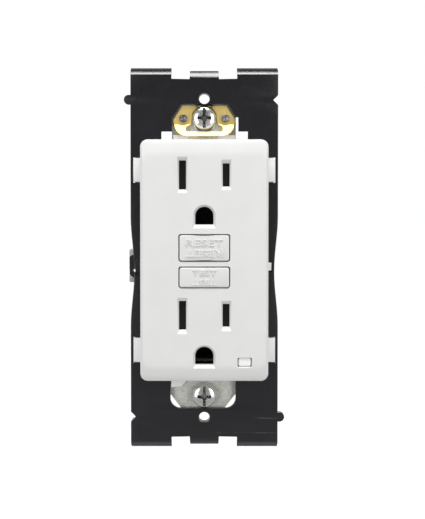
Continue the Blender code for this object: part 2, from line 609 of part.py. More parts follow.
def make_contacts():
    for side, name, height in ((-1, "neutral_contacts", 6.6), (1, "hot_contacts", 5.4)):
        bar = sorted((side * 9.6, side * 10.4))
        strip = box(name, (bar[0], 2.0, -19.5), (bar[1], 8.5, 28.4), "bronze")
        for z in (UPPER_SLOT_Z, LOWER_SLOT_Z):
            base = sorted((side * 4.7, side * 10.2))
            pieces = [box("jaw_base", (base[0], 7.7, z - height / 2), (base[1], 8.5, z + height / 2))]
            for offset in (-1.15, 1.15):
                middle = side * SLOT_X + offset
                pieces.append(box("jaw_leaf", (middle - 0.3, -4.5, z - height / 2 + 0.2),
                                  (middle + 0.3, 8.1, z + height / 2 - 0.2)))
            join(strip, *pieces)
    for name, z in (("upper_ground_contact", UPPER_GROUND_Z), ("lower_ground_contact", LOWER_GROUND_Z)):
        ring = [rectangle(0.0, z, 9.0, 6.8), circle(0.0, z, 2.9, 16)]
        clip = extruded(name, ring, 0.3, 1.0, "bronze")
        for side in (-1, 1):
            leaf = sorted((side * 3.3, side * 3.95))
            join(clip, box("ground_leaf", (leaf[0], 0.6, z - 2.4), (leaf[1], 7.6, z + 2.4)))


def make_trip_parts():
    carriage = box("contact_carriage", (-7.0, 11.0, -1.2), (7.0, 16.6, 9.0), "dark_insulator")
    cut(carriage, rod("carriage_hole", (0.0, RESET_Z), 1.5, 9.0, 18.0, steps=12))
    for side, name in ((-1, "neutral_moving_contact"), (1, "hot_moving_contact")):
        arm = sorted((side * 7.3, side * 12.6))
        strip = box(name, (arm[0], 12.4, 1.0), (arm[1], 13.2, 6.4), "copper")
        join(strip, rod("contact_button", (side * 11.0, 3.7), 1.2, 11.8, 12.8, steps=12))
    latch_hole = rectangle(0.0, 3.0, 3.0, 4.4)
    extruded("latch_plate", [rectangle(0.0, 0.6, 6.0, 16.8), latch_hole], 17.2, 18.0, "zinc_steel")
    rod("trip_plunger", (0.0, 17.6), 1.7, -32.0, -8.2, axis="Z", material="zinc_steel", steps=16)
    coil("plunger_spring", (0.0, 17.6), 2.3, 0.22, -30.2, -25.6, 4, axis="Z")
    bobbin = rod("solenoid_bobbin", (0.0, 17.6), 2.9, -23.4, -9.8, axis="Z", material="clear_plastic",
                 steps=16)
    for low, high in ((-23.6, -22.6), (-10.6, -9.6)):
        join(bobbin, rod("flange", (0.0, 17.6), 4.9, low, high, axis="Z", steps=16))
    cut(bobbin, rod("bobbin_bore", (0.0, 17.6), 2.1, -25.0, -8.0, axis="Z", steps=16))
    winding = [circle(0.0, 17.6, 4.6, 20), circle(0.0, 17.6, 3.2, 20)]
    extruded("solenoid_winding", winding, -22.3, -10.9, "copper", axis="Z")
    frame = box("solenoid_frame", (-5.4, 11.3, -25.0), (5.4, 12.3, -8.4), "zinc_steel")
    for low, high in ((-25.0, -24.0), (-9.3, -8.5)):
        plate = extruded("frame_end", [rectangle(0.0, 17.0, 10.8, 11.2)], low, high, axis="Z")
        cut(plate, rod("frame_hole", (0.0, 17.6), 2.1, low - 1, high + 1, axis="Z", steps=16))
        join(frame, plate)


def make_test_contact():
    blade = box("test_contact", (-6.8, 2.35, TEST_Z - 1.2), (1.5, 2.75, TEST_Z + 1.2), "bronze")
    join(blade, box("test_foot", (-7.4, 2.35, TEST_Z - 1.2), (-6.6, 7.8, TEST_Z + 1.2)))


def make_board():
    board = extruded("circuit_board", [rectangle(0.0, 0.0, 38.0, 64.0, 1.0, 1)], 23.6, 25.0, "board_green")
    cut(board, *[rod("board_notch", (x * CASE_SCREW_X, z * CASE_SCREW_Z), 2.7, 20.0, 28.0, steps=12)
                 for x in (-1, 1) for z in (-1, 1)])
    case = rod("sensor_cup", (0.0, 21.5), 8.2, 11.4, 22.9, material="dark_insulator")
    cut(case, rod("cup_bore", (0.0, 21.5), 2.0, 10.0, 24.0, steps=16))
    room = [circle(0.0, 21.5, 7.4, 24), circle(0.0, 21.5, 2.7, 24)]
    cut(case, extruded("cup_room", room, 12.4, 24.0))
    for name, middle in (("sensing_coil", 14.9), ("neutral_fault_coil", 19.6)):
        ring = [circle(0.0, 21.5, 7.0, 24), circle(0.0, 21.5, 3.1, 24)]
        extruded(name, ring, middle - 2.0, middle + 2.0, "copper")
    rod("surge_varistor", (12.6, -21.5), 4.6, 19.0, 22.4, material="component_blue", steps=16)
    rod("filter_capacitor", (-12.6, 20.4), 2.6, -27.0, -17.5, axis="Z", material="component_blue", steps=16)


clear_scene()
make_materials()
make_adapter_plate()
make_strap()
make_clip()
make_rivets()
make_mounting_screws()
make_front_cover()
make_face()
make_buttons()
make_shutters()
make_lens()
make_rear_case()
make_case_screws()
make_terminals()
make_ground_screw()
make_carrier()
make_contacts()
make_trip_parts()
make_test_contact()
make_board()
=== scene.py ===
"""Looks of a ground-fault receptacle with its clip-on adapter plate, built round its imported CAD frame.

Frame: X to the right of someone facing the wall, Y into the wall, Z up; the front faces -Y.
Shapes are given in millimetres and made in metres.
"""
import math
import bmesh
import bpy
from mathutils import Matrix, Vector


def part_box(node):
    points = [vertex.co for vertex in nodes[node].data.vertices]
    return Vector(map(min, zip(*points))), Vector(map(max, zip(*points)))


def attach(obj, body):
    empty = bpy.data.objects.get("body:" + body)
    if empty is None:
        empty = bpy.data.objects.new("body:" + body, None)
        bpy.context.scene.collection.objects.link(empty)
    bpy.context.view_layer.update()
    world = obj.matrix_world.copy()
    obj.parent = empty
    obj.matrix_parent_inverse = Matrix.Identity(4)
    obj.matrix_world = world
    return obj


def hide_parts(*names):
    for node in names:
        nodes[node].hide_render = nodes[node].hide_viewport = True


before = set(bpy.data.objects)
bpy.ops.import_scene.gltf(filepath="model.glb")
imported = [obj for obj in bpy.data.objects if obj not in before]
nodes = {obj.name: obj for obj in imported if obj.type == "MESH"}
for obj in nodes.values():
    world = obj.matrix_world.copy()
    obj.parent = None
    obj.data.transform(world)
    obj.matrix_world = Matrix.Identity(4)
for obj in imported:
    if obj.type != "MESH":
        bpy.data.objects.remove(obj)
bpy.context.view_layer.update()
MM = 0.001


# ---- places, read from the frame ----

def low_high(node):
    """A CAD node's corners in millimetres."""
    low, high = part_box(node)
    return Vector(low) / MM, Vector(high) / MM


def middle(node):
    low, high = low_high(node)
    return (low + high) / 2


face_low, face_high = low_high("front_face")
case_low, case_high = low_high("rear_case")
UPPER, LOWER = middle("upper_mounting_screw").z, middle("lower_mounting_screw").z
RESET_Z, TEST_Z = middle("reset_button").z, middle("test_button").z
MOUNT_Z = 41.67
SLOT_X, UPPER_SLOTS, LOWER_SLOTS = 6.35, 24.9, -16.0
UPPER_GROUND, LOWER_GROUND = 13.0, -27.85
LENS = middle("status_lens")
LENS_X, LENS_Z, PIPE_X = LENS.x - 0.05, LENS.z + 0.3, LENS.x - 0.3
RIVET_X, RIVET_Z = 6.4, 42.5
TERMINAL_Z = 17.0
CASE_SCREW_X, CASE_SCREW_Z = 16.0, 30.8
SCREW_PITCH = 0.794
# The blade slots as (x, width, height): the neutral one is the taller
BLADES = ((-SLOT_X, 2.05, 8.4), (SLOT_X, 2.0, 6.7))


# ---- shapes ----

def arc(cx, cz, radius, start, end, steps):
    angles = [math.radians(start + (end - start) * i / steps) for i in range(steps + 1)]
    return [(cx + radius * math.cos(a), cz + radius * math.sin(a)) for a in angles]


def circle(cx, cz, radius, steps=48):
    return arc(cx, cz, radius, 0.0, 360.0, steps)[:-1]


def box_ring(cx, cz, width, height, radius, steps=6):
    """A rectangle with round corners."""
    x, z = width / 2 - radius, height / 2 - radius
    points = []
    for across, up, start in ((x, z, 0), (-x, z, 90), (-x, -z, 180), (x, -z, 270)):
        points += arc(cx + across, cz + up, radius, start, start + 90, steps)
    return points


def eased(corners, radius, steps=4):
    """A closed outline whose corners are rounded; radius is one number or one for each corner."""
    outline = []
    count = len(corners)
    for i, here in enumerate(corners):
        size = radius[i] if isinstance(radius, (list, tuple)) else radius
        if not size:
            outline.append(tuple(here))
            continue
        corner = Vector(here)
        back = Vector(corners[i - 1]) - corner
        ahead = Vector(corners[(i + 1) % count]) - corner
        reach = min(size / math.tan(back.angle(ahead) / 2), 0.48 * back.length, 0.48 * ahead.length)
        start, end = corner + back.normalized() * reach, corner + ahead.normalized() * reach
        for k in range(steps + 1):
            t = k / steps
            point = (1 - t) ** 2 * start + 2 * t * (1 - t) * corner + t * t * end
            outline.append((point.x, point.y))
    return outline


def spot(axis, along, u, v):
    """A point from its distance along an axis and its two places across it."""
    return {"X": (along, u, v), "Y": (u, along, v), "Z": (u, v, along)}[axis]


def mirrored(side, near, far):
    """Two distances from the middle, as low and high places on one side (-1 or 1)."""
    return sorted((side * near, side * far))


def finished(name, work, smooth=35.0):
    bmesh.ops.recalc_face_normals(work, faces=work.faces)
    mesh = bpy.data.meshes.new(name)
    work.to_mesh(mesh)
    work.free()
    made = bpy.data.objects.new(name, mesh)
    bpy.context.scene.collection.objects.link(made)
    shade(made, smooth)
    return made


def shade(made, angle=35.0):
    made.data.shade_smooth()
    made.data.set_sharp_from_angle(angle=math.radians(angle))


def loft(name, sections, axis="Y", smooth=35.0):
    """A closed skin over sections, each (distance along the axis, outline), all with one point count."""
    work = bmesh.new()
    rings = []
    for along, outline in sections:
        rings.append([work.verts.new(Vector(spot(axis, along, u, v)) * MM) for u, v in outline])
    for near, far in zip(rings, rings[1:]):
        for i in range(len(near)):
            k = (i + 1) % len(near)
            work.faces.new((near[i], near[k], far[k], far[i]))
    work.faces.new(rings[0])
    work.faces.new(list(reversed(rings[-1])))
    return finished(name, work, smooth)


def slab(name, loops, start, end, axis="Y", ease=0.0, smooth=35.0):
    """A flat plate of an outline and its holes, its edges rounded by ease."""
    curve = bpy.data.curves.new(name, 'CURVE')
    curve.dimensions = '2D'
    curve.fill_mode = 'BOTH'
    curve.extrude = (abs(end - start) / 2 - ease) * MM
    curve.bevel_depth = ease * MM
    curve.offset = -ease * MM
    curve.bevel_resolution = 2
    for loop in loops:
        spline = curve.splines.new('POLY')
        spline.points.add(len(loop) - 1)
        for point, (u, v) in zip(spline.points, loop):
            point.co = (u * MM, v * MM, 0.0, 1.0)
        spline.use_cyclic_u = True
    turns = {"X": ((0, 0, 1), (1, 0, 0), (0, 1, 0)), "Y": ((1, 0, 0), (0, 0, -1), (0, 1, 0)),
             "Z": ((1, 0, 0), (0, 1, 0), (0, 0, 1))}
    shift = Vector([(start + end) / 2 * MM * (a == axis) for a in "XYZ"])
    flat = len(loops) == 1 and not ease
    return solid_of(name, curve, Matrix.Translation(shift) @ Matrix(turns[axis]).to_4x4(), flat, smooth)


def solid_of(name, curve, matrix=Matrix.Identity(4), whole_caps=False, smooth=35.0):
    """The closed mesh of a curve or a text, moved into place."""
    guide = bpy.data.objects.new(name, curve)
    bpy.context.scene.collection.objects.link(guide)
    bpy.context.view_layer.update()
    mesh = bpy.data.meshes.new_from_object(guide.evaluated_get(bpy.context.evaluated_depsgraph_get()))
    bpy.data.objects.remove(guide)
    work = bmesh.new()
    work.from_mesh(mesh)
    work.transform(matrix)
    bmesh.ops.remove_doubles(work, verts=work.verts, dist=1e-7)
    if whole_caps:
        bmesh.ops.dissolve_limit(work, angle_limit=0.01, verts=work.verts, edges=work.edges)
    return finished(name, work, smooth)


def block(name, low, high, ease=0.0):
    """A box, with its edges rounded if asked."""
    low, high = Vector(low), Vector(high)
    work = bmesh.new()
    bmesh.ops.create_cube(work, size=1.0)
    bmesh.ops.scale(work, vec=(high - low) * MM, verts=work.verts)
    bmesh.ops.translate(work, vec=(low + high) / 2 * MM, verts=work.verts)
    if ease:
        bmesh.ops.bevel(work, geom=work.edges[:], offset=ease * MM, segments=3, profile=0.5, affect='EDGES')
    return finished(name, work)


def turned(name, centre, profile, axis="Y", steps=48, pitch=SCREW_PITCH, depth=0.36, threads=None):
    """A lathed shape: profile is (distance along, radius) points; threads is (start, end) along it."""
    if threads:
        start, end = threads
        before = [p for p in profile if p[0] < start]
        after = [p for p in profile if p[0] > end]
        count = max(2, int(abs(end - start) / pitch * 6))
        core = [(start + (end - start) * i / count, None) for i in range(count + 1)]
        radius = [r for a, r in profile if start <= a <= end][0]
        profile = before + core + after
    sections = []
    for along, r in profile:
        outline = []
        for i in range(steps):
            turn = i / steps
            if r is None:
                phase = (along / pitch - turn) % 1.0
                size = radius - depth * abs(2 * phase - 1)
            else:
                size = max(r, 0.004)
            angle = 2 * math.pi * turn
            outline.append((centre[0] + size * math.cos(angle), centre[1] + size * math.sin(angle)))
        sections.append((along, outline))
    return loft(name, sections, axis)


def coil(name, centre, radius, wire, start, end, turns, per_turn=14):
    """A helical wire round an upright axis."""
    curve = bpy.data.curves.new(name, 'CURVE')
    curve.dimensions = '3D'
    curve.bevel_depth = wire * MM
    curve.bevel_resolution = 3
    curve.use_fill_caps = True
    spline = curve.splines.new('POLY')
    count = int(turns * per_turn) + 1
    spline.points.add(count - 1)
    for i, point in enumerate(spline.points):
        angle = 2 * math.pi * i / per_turn
        x, y = centre[0] + radius * math.cos(angle), centre[1] + radius * math.sin(angle)
        point.co = (x * MM, y * MM, (start + (end - start) * i / (count - 1)) * MM, 1.0)
    return solid_of(name, curve)


def carve(target, tools, operation='DIFFERENCE', smooth=35.0):
    """Cuts the tools from the target, or joins them to it, and removes them."""
    for tool in tools:
        step = target.modifiers.new("Carve", 'BOOLEAN')
        step.operation = operation
        step.solver = 'EXACT'
        step.object = tool
    return settle(target, tools, smooth)


def fused(target, tools, smooth=35.0):
    return carve(target, tools, 'UNION', smooth)


def settle(target, spent=(), smooth=35.0):
    """Bakes the modifiers into the mesh."""
    bpy.context.view_layer.update()
    mesh = bpy.data.meshes.new_from_object(target.evaluated_get(bpy.context.evaluated_depsgraph_get()))
    target.modifiers.clear()
    target.data = mesh
    for tool in spent:
        bpy.data.objects.remove(tool, do_unlink=True)
    shade(target, smooth)
    return target


def soften(target, width, segments=2, angle=35.0):
    """Rounds the sharp edges."""
    step = target.modifiers.new("Soft edges", 'BEVEL')
    step.width = width * MM
    step.segments = segments
    step.limit_method = 'ANGLE'
    step.angle_limit = math.radians(angle)
    step.use_clamp_overlap = False
    step.miter_outer = 'MITER_ARC'
    step.harden_normals = True
    return target


def together(target, parts, smooth=35.0):
    """Adds the parts' meshes to the target's as they are."""
    work = bmesh.new()
    work.from_mesh(target.data)
    for part in parts:
        work.from_mesh(part.data)
        bpy.data.objects.remove(part, do_unlink=True)
    work.to_mesh(target.data)
    work.free()
    shade(target, smooth)
    return target


def piece(made, body, slot, material, *replaced):
    """Hands a finished piece to the frame."""
    made.data.materials.clear()
    made.data.materials.append(material)
    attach(made, body)
    if replaced:
        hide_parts(*replaced)
    return made


# ---- materials ----

def nodes_of(name):
    made = bpy.data.materials.new(name)
    made.use_nodes = True
    tree = made.node_tree
    return made, tree, tree.nodes["Principled BSDF"]


def add_node(tree, kind, values, feeds):
    """A new node, with the inputs that are set and the inputs that are fed, by name."""
    made = tree.nodes.new(kind)
    for socket, value in values.items():
        made.inputs[socket].default_value = value
    for socket, source in feeds.items():
        tree.links.new(source, made.inputs[socket])
    return made


def noise(tree, scale, detail=3.0, roughness=0.55, stretch=(1.0, 1.0, 1.0)):
    """Noise in the piece's own space; scale is features in a metre."""
    place = tree.nodes.new('ShaderNodeTexCoord')
    mapping = add_node(tree, 'ShaderNodeMapping', {'Scale': stretch}, {'Vector': place.outputs['Object']})
    made = add_node(tree, 'ShaderNodeTexNoise', {'Scale': scale, 'Detail': detail, 'Roughness': roughness},
                    {'Vector': mapping.outputs['Vector']})
    return made.outputs['Fac']


def cells(tree, scale):
    place = tree.nodes.new('ShaderNodeTexCoord')
    made = add_node(tree, 'ShaderNodeTexVoronoi', {'Scale': scale}, {'Vector': place.outputs['Object']})
    return made.outputs['Color']


def ranged(tree, value, old, new=(0.0, 1.0)):
    """The value carried from one range to another."""
    made = add_node(tree, 'ShaderNodeMapRange', {'From Min': old[0], 'From Max': old[1], 'To Min': new[0],
                                                 'To Max': new[1]}, {'Value': value})
    return made.outputs['Result']


def spread(tree, value, low, high):
    """Noise turned into the range low to high."""
    return ranged(tree, value, (0.3, 0.7), (low, high))


def two_tone(tree, value, first, second):
    made = tree.nodes.new('ShaderNodeValToRGB')
    for element, position, colour in zip(made.color_ramp.elements, (0.32, 0.68), (first, second)):
        element.position = position
        element.color = (*colour, 1.0)
    tree.links.new(value, made.inputs['Fac'])
    return made.outputs['Color']


def coat(tree, shader, tone, colours, gloss, rough):
    """Feeds the shader a colour between two tones and a roughness in a range."""
    tree.links.new(two_tone(tree, tone, *colours), shader.inputs['Base Color'])
    tree.links.new(spread(tree, gloss, *rough), shader.inputs['Roughness'])


def bumped(tree, shader, heights):
    """Stacks bumps; heights are (value, distance in mm, strength)."""
    last = {}
    for value, distance, strength in heights:
        bump = add_node(tree, 'ShaderNodeBump', {'Distance': distance * MM, 'Strength': strength},
                        {'Height': value, **last})
        last = {'Normal': bump.outputs['Normal']}
    tree.links.new(last['Normal'], shader.inputs['Normal'])


def plastic(name, first, second, rough, grain=0.012, grain_scale=5000.0, cloud=120.0, specular=0.5):
    """Moulded plastic: a fine spark-eroded grain over soft clouds of tone and gloss."""
    made, tree, shader = nodes_of(name)
    coat(tree, shader, noise(tree, cloud), (first, second), noise(tree, cloud * 7), rough)
    shader.inputs['Specular IOR Level'].default_value = specular
    bumped(tree, shader, [(noise(tree, grain_scale, 2.0), grain, 0.6), (noise(tree, cloud * 1.5), 0.03, 0.25)])
    return made


def metal(name, first, second, rough, grain=0.01, grain_scale=3000.0, stretch=(1.0, 1.0, 1.0), cloud=250.0):
    """Rolled or plated metal: tone clouds, uneven gloss and fine scratches along the stretch."""
    made, tree, shader = nodes_of(name)
    scratches = noise(tree, grain_scale, 4.0, 0.7, stretch)
    coat(tree, shader, noise(tree, cloud, 4.0), (first, second), scratches, rough)
    shader.inputs['Metallic'].default_value = 1.0
    bumped(tree, shader, [(scratches, grain, 0.5), (noise(tree, cloud * 2), 0.02, 0.3)])
    return made


def recessed(name, first, second, rough):
    """Plated metal with painted shade in its slots and sockets: ambient occlusion turns the colour dark where
    the surface is closed in.
    """
    made = metal(name, first, second, rough, 0.006, 2500.0)
    tree = made.node_tree
    shader = tree.nodes["Principled BSDF"]
    tone = shader.inputs['Base Color'].links[0].from_socket
    # Painted shade: how open the surface is mixes a near-black tone into the colour inside the slots and
    # sockets
    open_sky = add_node(tree, 'ShaderNodeAmbientOcclusion', {'Distance': 1.6 * MM}, {})
    open_sky.samples = 8
    recess_shade = tree.nodes.new('ShaderNodeMix')
    recess_shade.data_type = 'RGBA'
    dark = two_tone(tree, noise(tree, 900.0), (0.03, 0.03, 0.03), (0.09, 0.09, 0.08))
    tree.links.new(ranged(tree, open_sky.outputs['AO'], (0.45, 0.85)), recess_shade.inputs['Factor'])
    tree.links.new(dark, recess_shade.inputs['A'])
    tree.links.new(tone, recess_shade.inputs['B'])
    tree.links.new(recess_shade.outputs['Result'], shader.inputs['Base Color'])
    return made


def galvanised():
    """Zinc-plated strip: fine crystals of slightly different grey, with a dull, pitted surface."""
    made, tree, shader = nodes_of("galvanised_steel")
    mixed = tree.nodes.new('ShaderNodeMix')
    mixed.data_type = 'FLOAT'
    mixed.inputs['Factor'].default_value = 0.5
    tree.links.new(cells(tree, 4200.0), mixed.inputs['A'])
    tree.links.new(noise(tree, 3800.0, 5.0, 0.75), mixed.inputs['B'])
    value = mixed.outputs['Result']
    coat(tree, shader, value, ((0.62, 0.62, 0.58), (0.95, 0.95, 0.89)), value, (0.56, 0.74))
    shader.inputs['Metallic'].default_value = 1.0
    bumped(tree, shader, [(noise(tree, 3600.0, 4.0, 0.7), 0.03, 0.7), (value, 0.012, 0.4)])
    return made


def lens_plastic():
    made, tree, shader = nodes_of("lens_plastic")
    coat(tree, shader, noise(tree, 300.0), ((0.95, 0.95, 0.94), (0.98, 0.98, 0.97)), noise(tree, 900.0),
         (0.1, 0.2))
    shader.inputs['IOR'].default_value = 1.49
    bumped(tree, shader, [(noise(tree, 2500.0), 0.01, 0.3)])
    return made


def board_laminate():
    """Solder mask over tracks: a grid of broken lanes stands a little proud and lighter."""
    made, tree, shader = nodes_of("board_laminate")
    place = tree.nodes.new('ShaderNodeTexCoord')
    turn = add_node(tree, 'ShaderNodeMapping', {'Rotation': (math.pi / 2, 0.0, 0.0)},
                    {'Vector': place.outputs['Object']})
    colours = {'Color1': (0.010, 0.12, 0.045, 1.0), 'Color2': (0.014, 0.15, 0.055, 1.0),
               'Mortar': (0.03, 0.24, 0.09, 1.0)}
    lanes = add_node(tree, 'ShaderNodeTexBrick', {'Scale': 160.0, 'Mortar Size': 0.06, **colours},
                     {'Vector': turn.outputs['Vector']})
    tree.links.new(lanes.outputs['Color'], shader.inputs['Base Color'])
    tree.links.new(spread(tree, noise(tree, 700.0), 0.28, 0.42), shader.inputs['Roughness'])
    bumped(tree, shader, [(lanes.outputs['Fac'], 0.03, 0.4)])
    return made


BLACK = plastic("black_moulding", (0.0065, 0.0060, 0.0085), (0.0090, 0.0085, 0.0115), (0.20, 0.26), 0.0015,
                4200.0, specular=0.8)
WHITE = plastic("white_moulding", (0.775, 0.775, 0.762), (0.800, 0.800, 0.790), (0.30, 0.36), 0.004, 6000.0)
# Painted light: the cover's white is paler than the face's so its ears, shaded by the face, read brighter
COVER_WHITE_PAINTED_LIGHT = plastic("cover_moulding_painted_light", (0.90, 0.90, 0.885), (0.93, 0.93, 0.92), (0.30, 0.38), 0.004, 6000.0)
BUTTON_WHITE = plastic("button_moulding", (0.745, 0.745, 0.735), (0.765, 0.765, 0.757), (0.34, 0.40), 0.004,
                       6000.0)
SHUTTER = plastic("shutter_nylon", (0.006, 0.006, 0.0065), (0.010, 0.010, 0.011), (0.42, 0.52), 0.01,
                  specular=0.3)
# Painted shade: a near-black, dull plastic for the sleeves behind the ground holes, standing in for their
# shade
THROAT_PAINTED_SHADE = plastic("throat_painted_shade", (0.003, 0.003, 0.003), (0.005, 0.005, 0.005), (0.6, 0.7), 0.01,
                 specular=0.2)
INSULATOR = plastic("dark_moulding", (0.045, 0.045, 0.050), (0.065, 0.065, 0.070), (0.42, 0.52), 0.012)
GREY = plastic("grey_moulding", (0.40, 0.41, 0.42), (0.45, 0.46, 0.47), (0.36, 0.46), 0.010, 4500.0)
BLUE = plastic("blue_epoxy", (0.02, 0.07, 0.34), (0.03, 0.10, 0.42), (0.22, 0.34), 0.01, 2500.0)
NYLON = plastic("bobbin_nylon", (0.70, 0.70, 0.66), (0.78, 0.78, 0.74), (0.32, 0.42), 0.006)
CLEAR = lens_plastic()
STEEL = galvanised()
NICKEL = metal("bright_zinc", (0.80, 0.80, 0.78), (0.90, 0.90, 0.88), (0.14, 0.26), 0.006, 2500.0)
SCREW = recessed("screw_zinc", (0.84, 0.84, 0.81), (0.93, 0.93, 0.90), (0.18, 0.30))
BRASS = metal("rolled_brass", (0.90, 0.67, 0.24), (0.95, 0.74, 0.29), (0.44, 0.54), 0.006, 3200.0,
              (0.15, 1.0, 1.0))
PUNCHED = metal("punched_steel", (0.12, 0.12, 0.12), (0.26, 0.26, 0.25), (0.22, 0.34), 0.01, 2500.0)
# Painted shade: a very dark bronze for the ground contacts seen deep in the ground holes, standing in for
# their shade
BRONZE_PAINTED_SHADE = metal("ground_contact_painted_shade", (0.07, 0.045, 0.03), (0.12, 0.08, 0.05), (0.40, 0.52))
BRASS_SCREW = metal("bright_brass", (0.80, 0.58, 0.24), (0.88, 0.66, 0.30), (0.16, 0.28), 0.006)
BRONZE = metal("spring_bronze", (0.76, 0.44, 0.24), (0.86, 0.52, 0.30), (0.26, 0.38), 0.006, 3000.0,
               (1.0, 1.0, 0.2))
GREEN = metal("green_dyed_zinc", (0.02, 0.26, 0.09), (0.05, 0.36, 0.14), (0.20, 0.34), 0.008)
COPPER = metal("enamelled_copper", (0.66, 0.24, 0.10), (0.80, 0.34, 0.16), (0.16, 0.28), 0.006)
BOARD = board_laminate()


# ---- face ----

# How far back the skin lies at each distance in from the sides and from the ends: a flat front, a band that
# slopes back at each end, and a rounded edge
FACE_PROFILE = [(0.0, 0.95, 5.0), (0.03, 0.86, 4.3), (0.12, 0.75, 3.6), (0.55, 0.55, 1.6), (0.84, 0.28, 0.5),
                (1.0, 0.12, 0.22), (1.25, 0.03, 0.06), (1.6, 0.0, 0.0)]
FACE_WALL, FACE_SIDE_WALL, FACE_CORNER = 1.7, 1.3, 2.2


def ground_loop(z, grow=0.0, sill=1.0, steps=28):
    radius, flat = 2.65 + grow, 2.5 + grow * sill
    return arc(0.0, z, radius, 0, 180, steps) + [(-radius, z - flat), (radius, z - flat)]


def flared(outline, front, spread_out, drop):
    """A cutter whose mouth opens towards the front; outline takes how far it grows."""
    depth = 3.4
    stages = ((-0.3, 1 + 0.3 / drop), (drop * 0.5, 0.5), (drop * 0.85, 0.12), (drop * 1.3, 0.0), (depth, 0.0))
    return loft("mouth", [(front + along, outline(spread_out * share)) for along, share in stages])


def box_mouth(place, size, corner, front, spread_out, drop, widen=2.0, rounder=1.0, steps=6):
    """A flared cutter of a box with round corners, which may widen less than it grows in height."""
    return flared(lambda grow: box_ring(*place, size[0] + widen * grow, size[1] + 2 * grow,
                                        corner + rounder * grow, steps), front, spread_out, drop)


def make_face():
    front, back = face_low.y, face_high.y
    half_w, half_h = face_high.x, face_high.z
    sections = []
    for drop, side_in, end_in in FACE_PROFILE:
        corner = FACE_CORNER - 0.8 * side_in + 0.35 * (end_in - side_in)
        ring = box_ring(0, 0, 2 * (half_w - side_in), 2 * (half_h - end_in), corner, 10)
        sections.append((front + drop, ring))
    full = box_ring(0, 0, 2 * half_w, 2 * half_h, FACE_CORNER, 10)
    rim = box_ring(0, 0, 2 * (half_w - 0.12), 2 * (half_h - 0.12), FACE_CORNER - 0.1, 10)
    room = box_ring(0, 0, 2 * (half_w - FACE_SIDE_WALL), 2 * (half_h - FACE_SIDE_WALL), 1.2, 10)
    sections += [(back - 0.12, full), (back, rim), (back, room), (front + FACE_WALL, room)]
    face = loft("face_shell", sections, smooth=30.0)
    cutters = [box_mouth((x, z), size, 0.12, front, 1.05, 0.8, widen=0.9, rounder=0.1, steps=3)
               for z in (UPPER_SLOTS, LOWER_SLOTS) for x, *size in BLADES]
    cutters += [flared(lambda grow, z=z: ground_loop(z, grow, 1.6), front, 0.65, 0.8)
                for z in (UPPER_GROUND, LOWER_GROUND)]
    cutters += [box_mouth((0, z), (15.0, height), 0.7, front, 0.16, 0.16)
                for z, height in ((RESET_Z, 8.0), (TEST_Z, 6.3))]
    cutters.append(box_mouth((LENS_X, LENS_Z), (4.1, 2.7), 0.25, front, 0.14, 0.14, steps=4))
    carve(face, cutters, smooth=30.0)
    piece(face, "device", "white_plastic", WHITE, "front_face")


def make_throats():
    """Painted shade: near-black sleeves that carry the ground holes on behind the face and stand in for the
    shade inside them.
    """
    front, back = face_low.y + FACE_WALL + 0.05, -6.3
    throats = [slab("throat", [ground_loop(z, 0.36), ground_loop(z, 0.03)], front, back)
               for z in (UPPER_GROUND, LOWER_GROUND)]
    made = together(throats[0], throats[1:])
    made.name = "ground_hole_painted_shade"
    piece(made, "device", "shutter_grey", THROAT_PAINTED_SHADE)


def lettering(word, width, height, z, surface, side):
    """Raised letters of a given width and height, read upright (side 1) or upside down (side -1)."""
    curve = bpy.data.curves.new("lettering", 'FONT')
    curve.body = word
    curve.size = 1.0
    curve.extrude = 0.02
    curve.bevel_depth = 0.012
    curve.bevel_resolution = 1
    curve.resolution_u = 6
    curve.align_x = 'CENTER'
    made = solid_of("lettering", curve)
    low = [min(v.co[k] for v in made.data.vertices) for k in range(3)]
    high = [max(v.co[k] for v in made.data.vertices) for k in range(3)]
    relief, proud = 0.34, 0.05
    scale = [size / (b - a) for size, a, b in zip((width, height, relief), low, high)]
    for v in made.data.vertices:
        x, y, up = [(v.co[k] - (low[k] + high[k]) / 2) * scale[k] for k in range(3)]
        v.co = Vector((side * x, surface - proud - up, z + side * y)) * MM
    return made


def finger_dip(edge_z, side, front):
    """A cutter of very large radius that hollows the middle of a button's long edge."""
    radius = 26.0
    return turned("finger_dip", (0.0, edge_z + side * radius), [(front - 1.0, radius), (front + 1.6, radius)],
                  steps=256)


def make_button(node, z, word, letters, row):
    """A button cap on its stem; the word stands at row above the middle and upside down below it."""
    low, high = low_high(node)
    width, front, height = high.x - low.x, low.y, 2 * (high.z - z)
    back = front + 4.25
    sections = []
    for inset, drop in ((0.34, 0.0), (0.17, 0.035), (0.06, 0.12), (0.0, 0.3), (0.0, back - front)):
        sections.append((front + drop, box_ring(0, z, width - 2 * inset, height - 2 * inset, 0.6 - inset, 6)))
    cap = loft(node + "_cap", sections, smooth=40.0)
    stem = turned(node + "_stem", (0.0, z), [(back - 0.4, 1.5), (high.y - 0.2, 1.5), (high.y, 1.3)])
    fused(cap, [stem], 40.0)
    if node == "reset_button":
        carve(cap, [finger_dip(z + side * (height / 2 - 0.22), side, front) for side in (-1, 1)], smooth=40.0)
    together(cap, [lettering(word, *letters, z + side * row, front, side) for side in (1, -1)])
    piece(cap, node, "white_plastic", BUTTON_WHITE, node)


def make_buttons():
    make_button("reset_button", RESET_Z, "RESET", (10.8, 2.0), 1.55)
    make_button("test_button", TEST_Z, "TEST", (7.0, 1.55), 1.42)


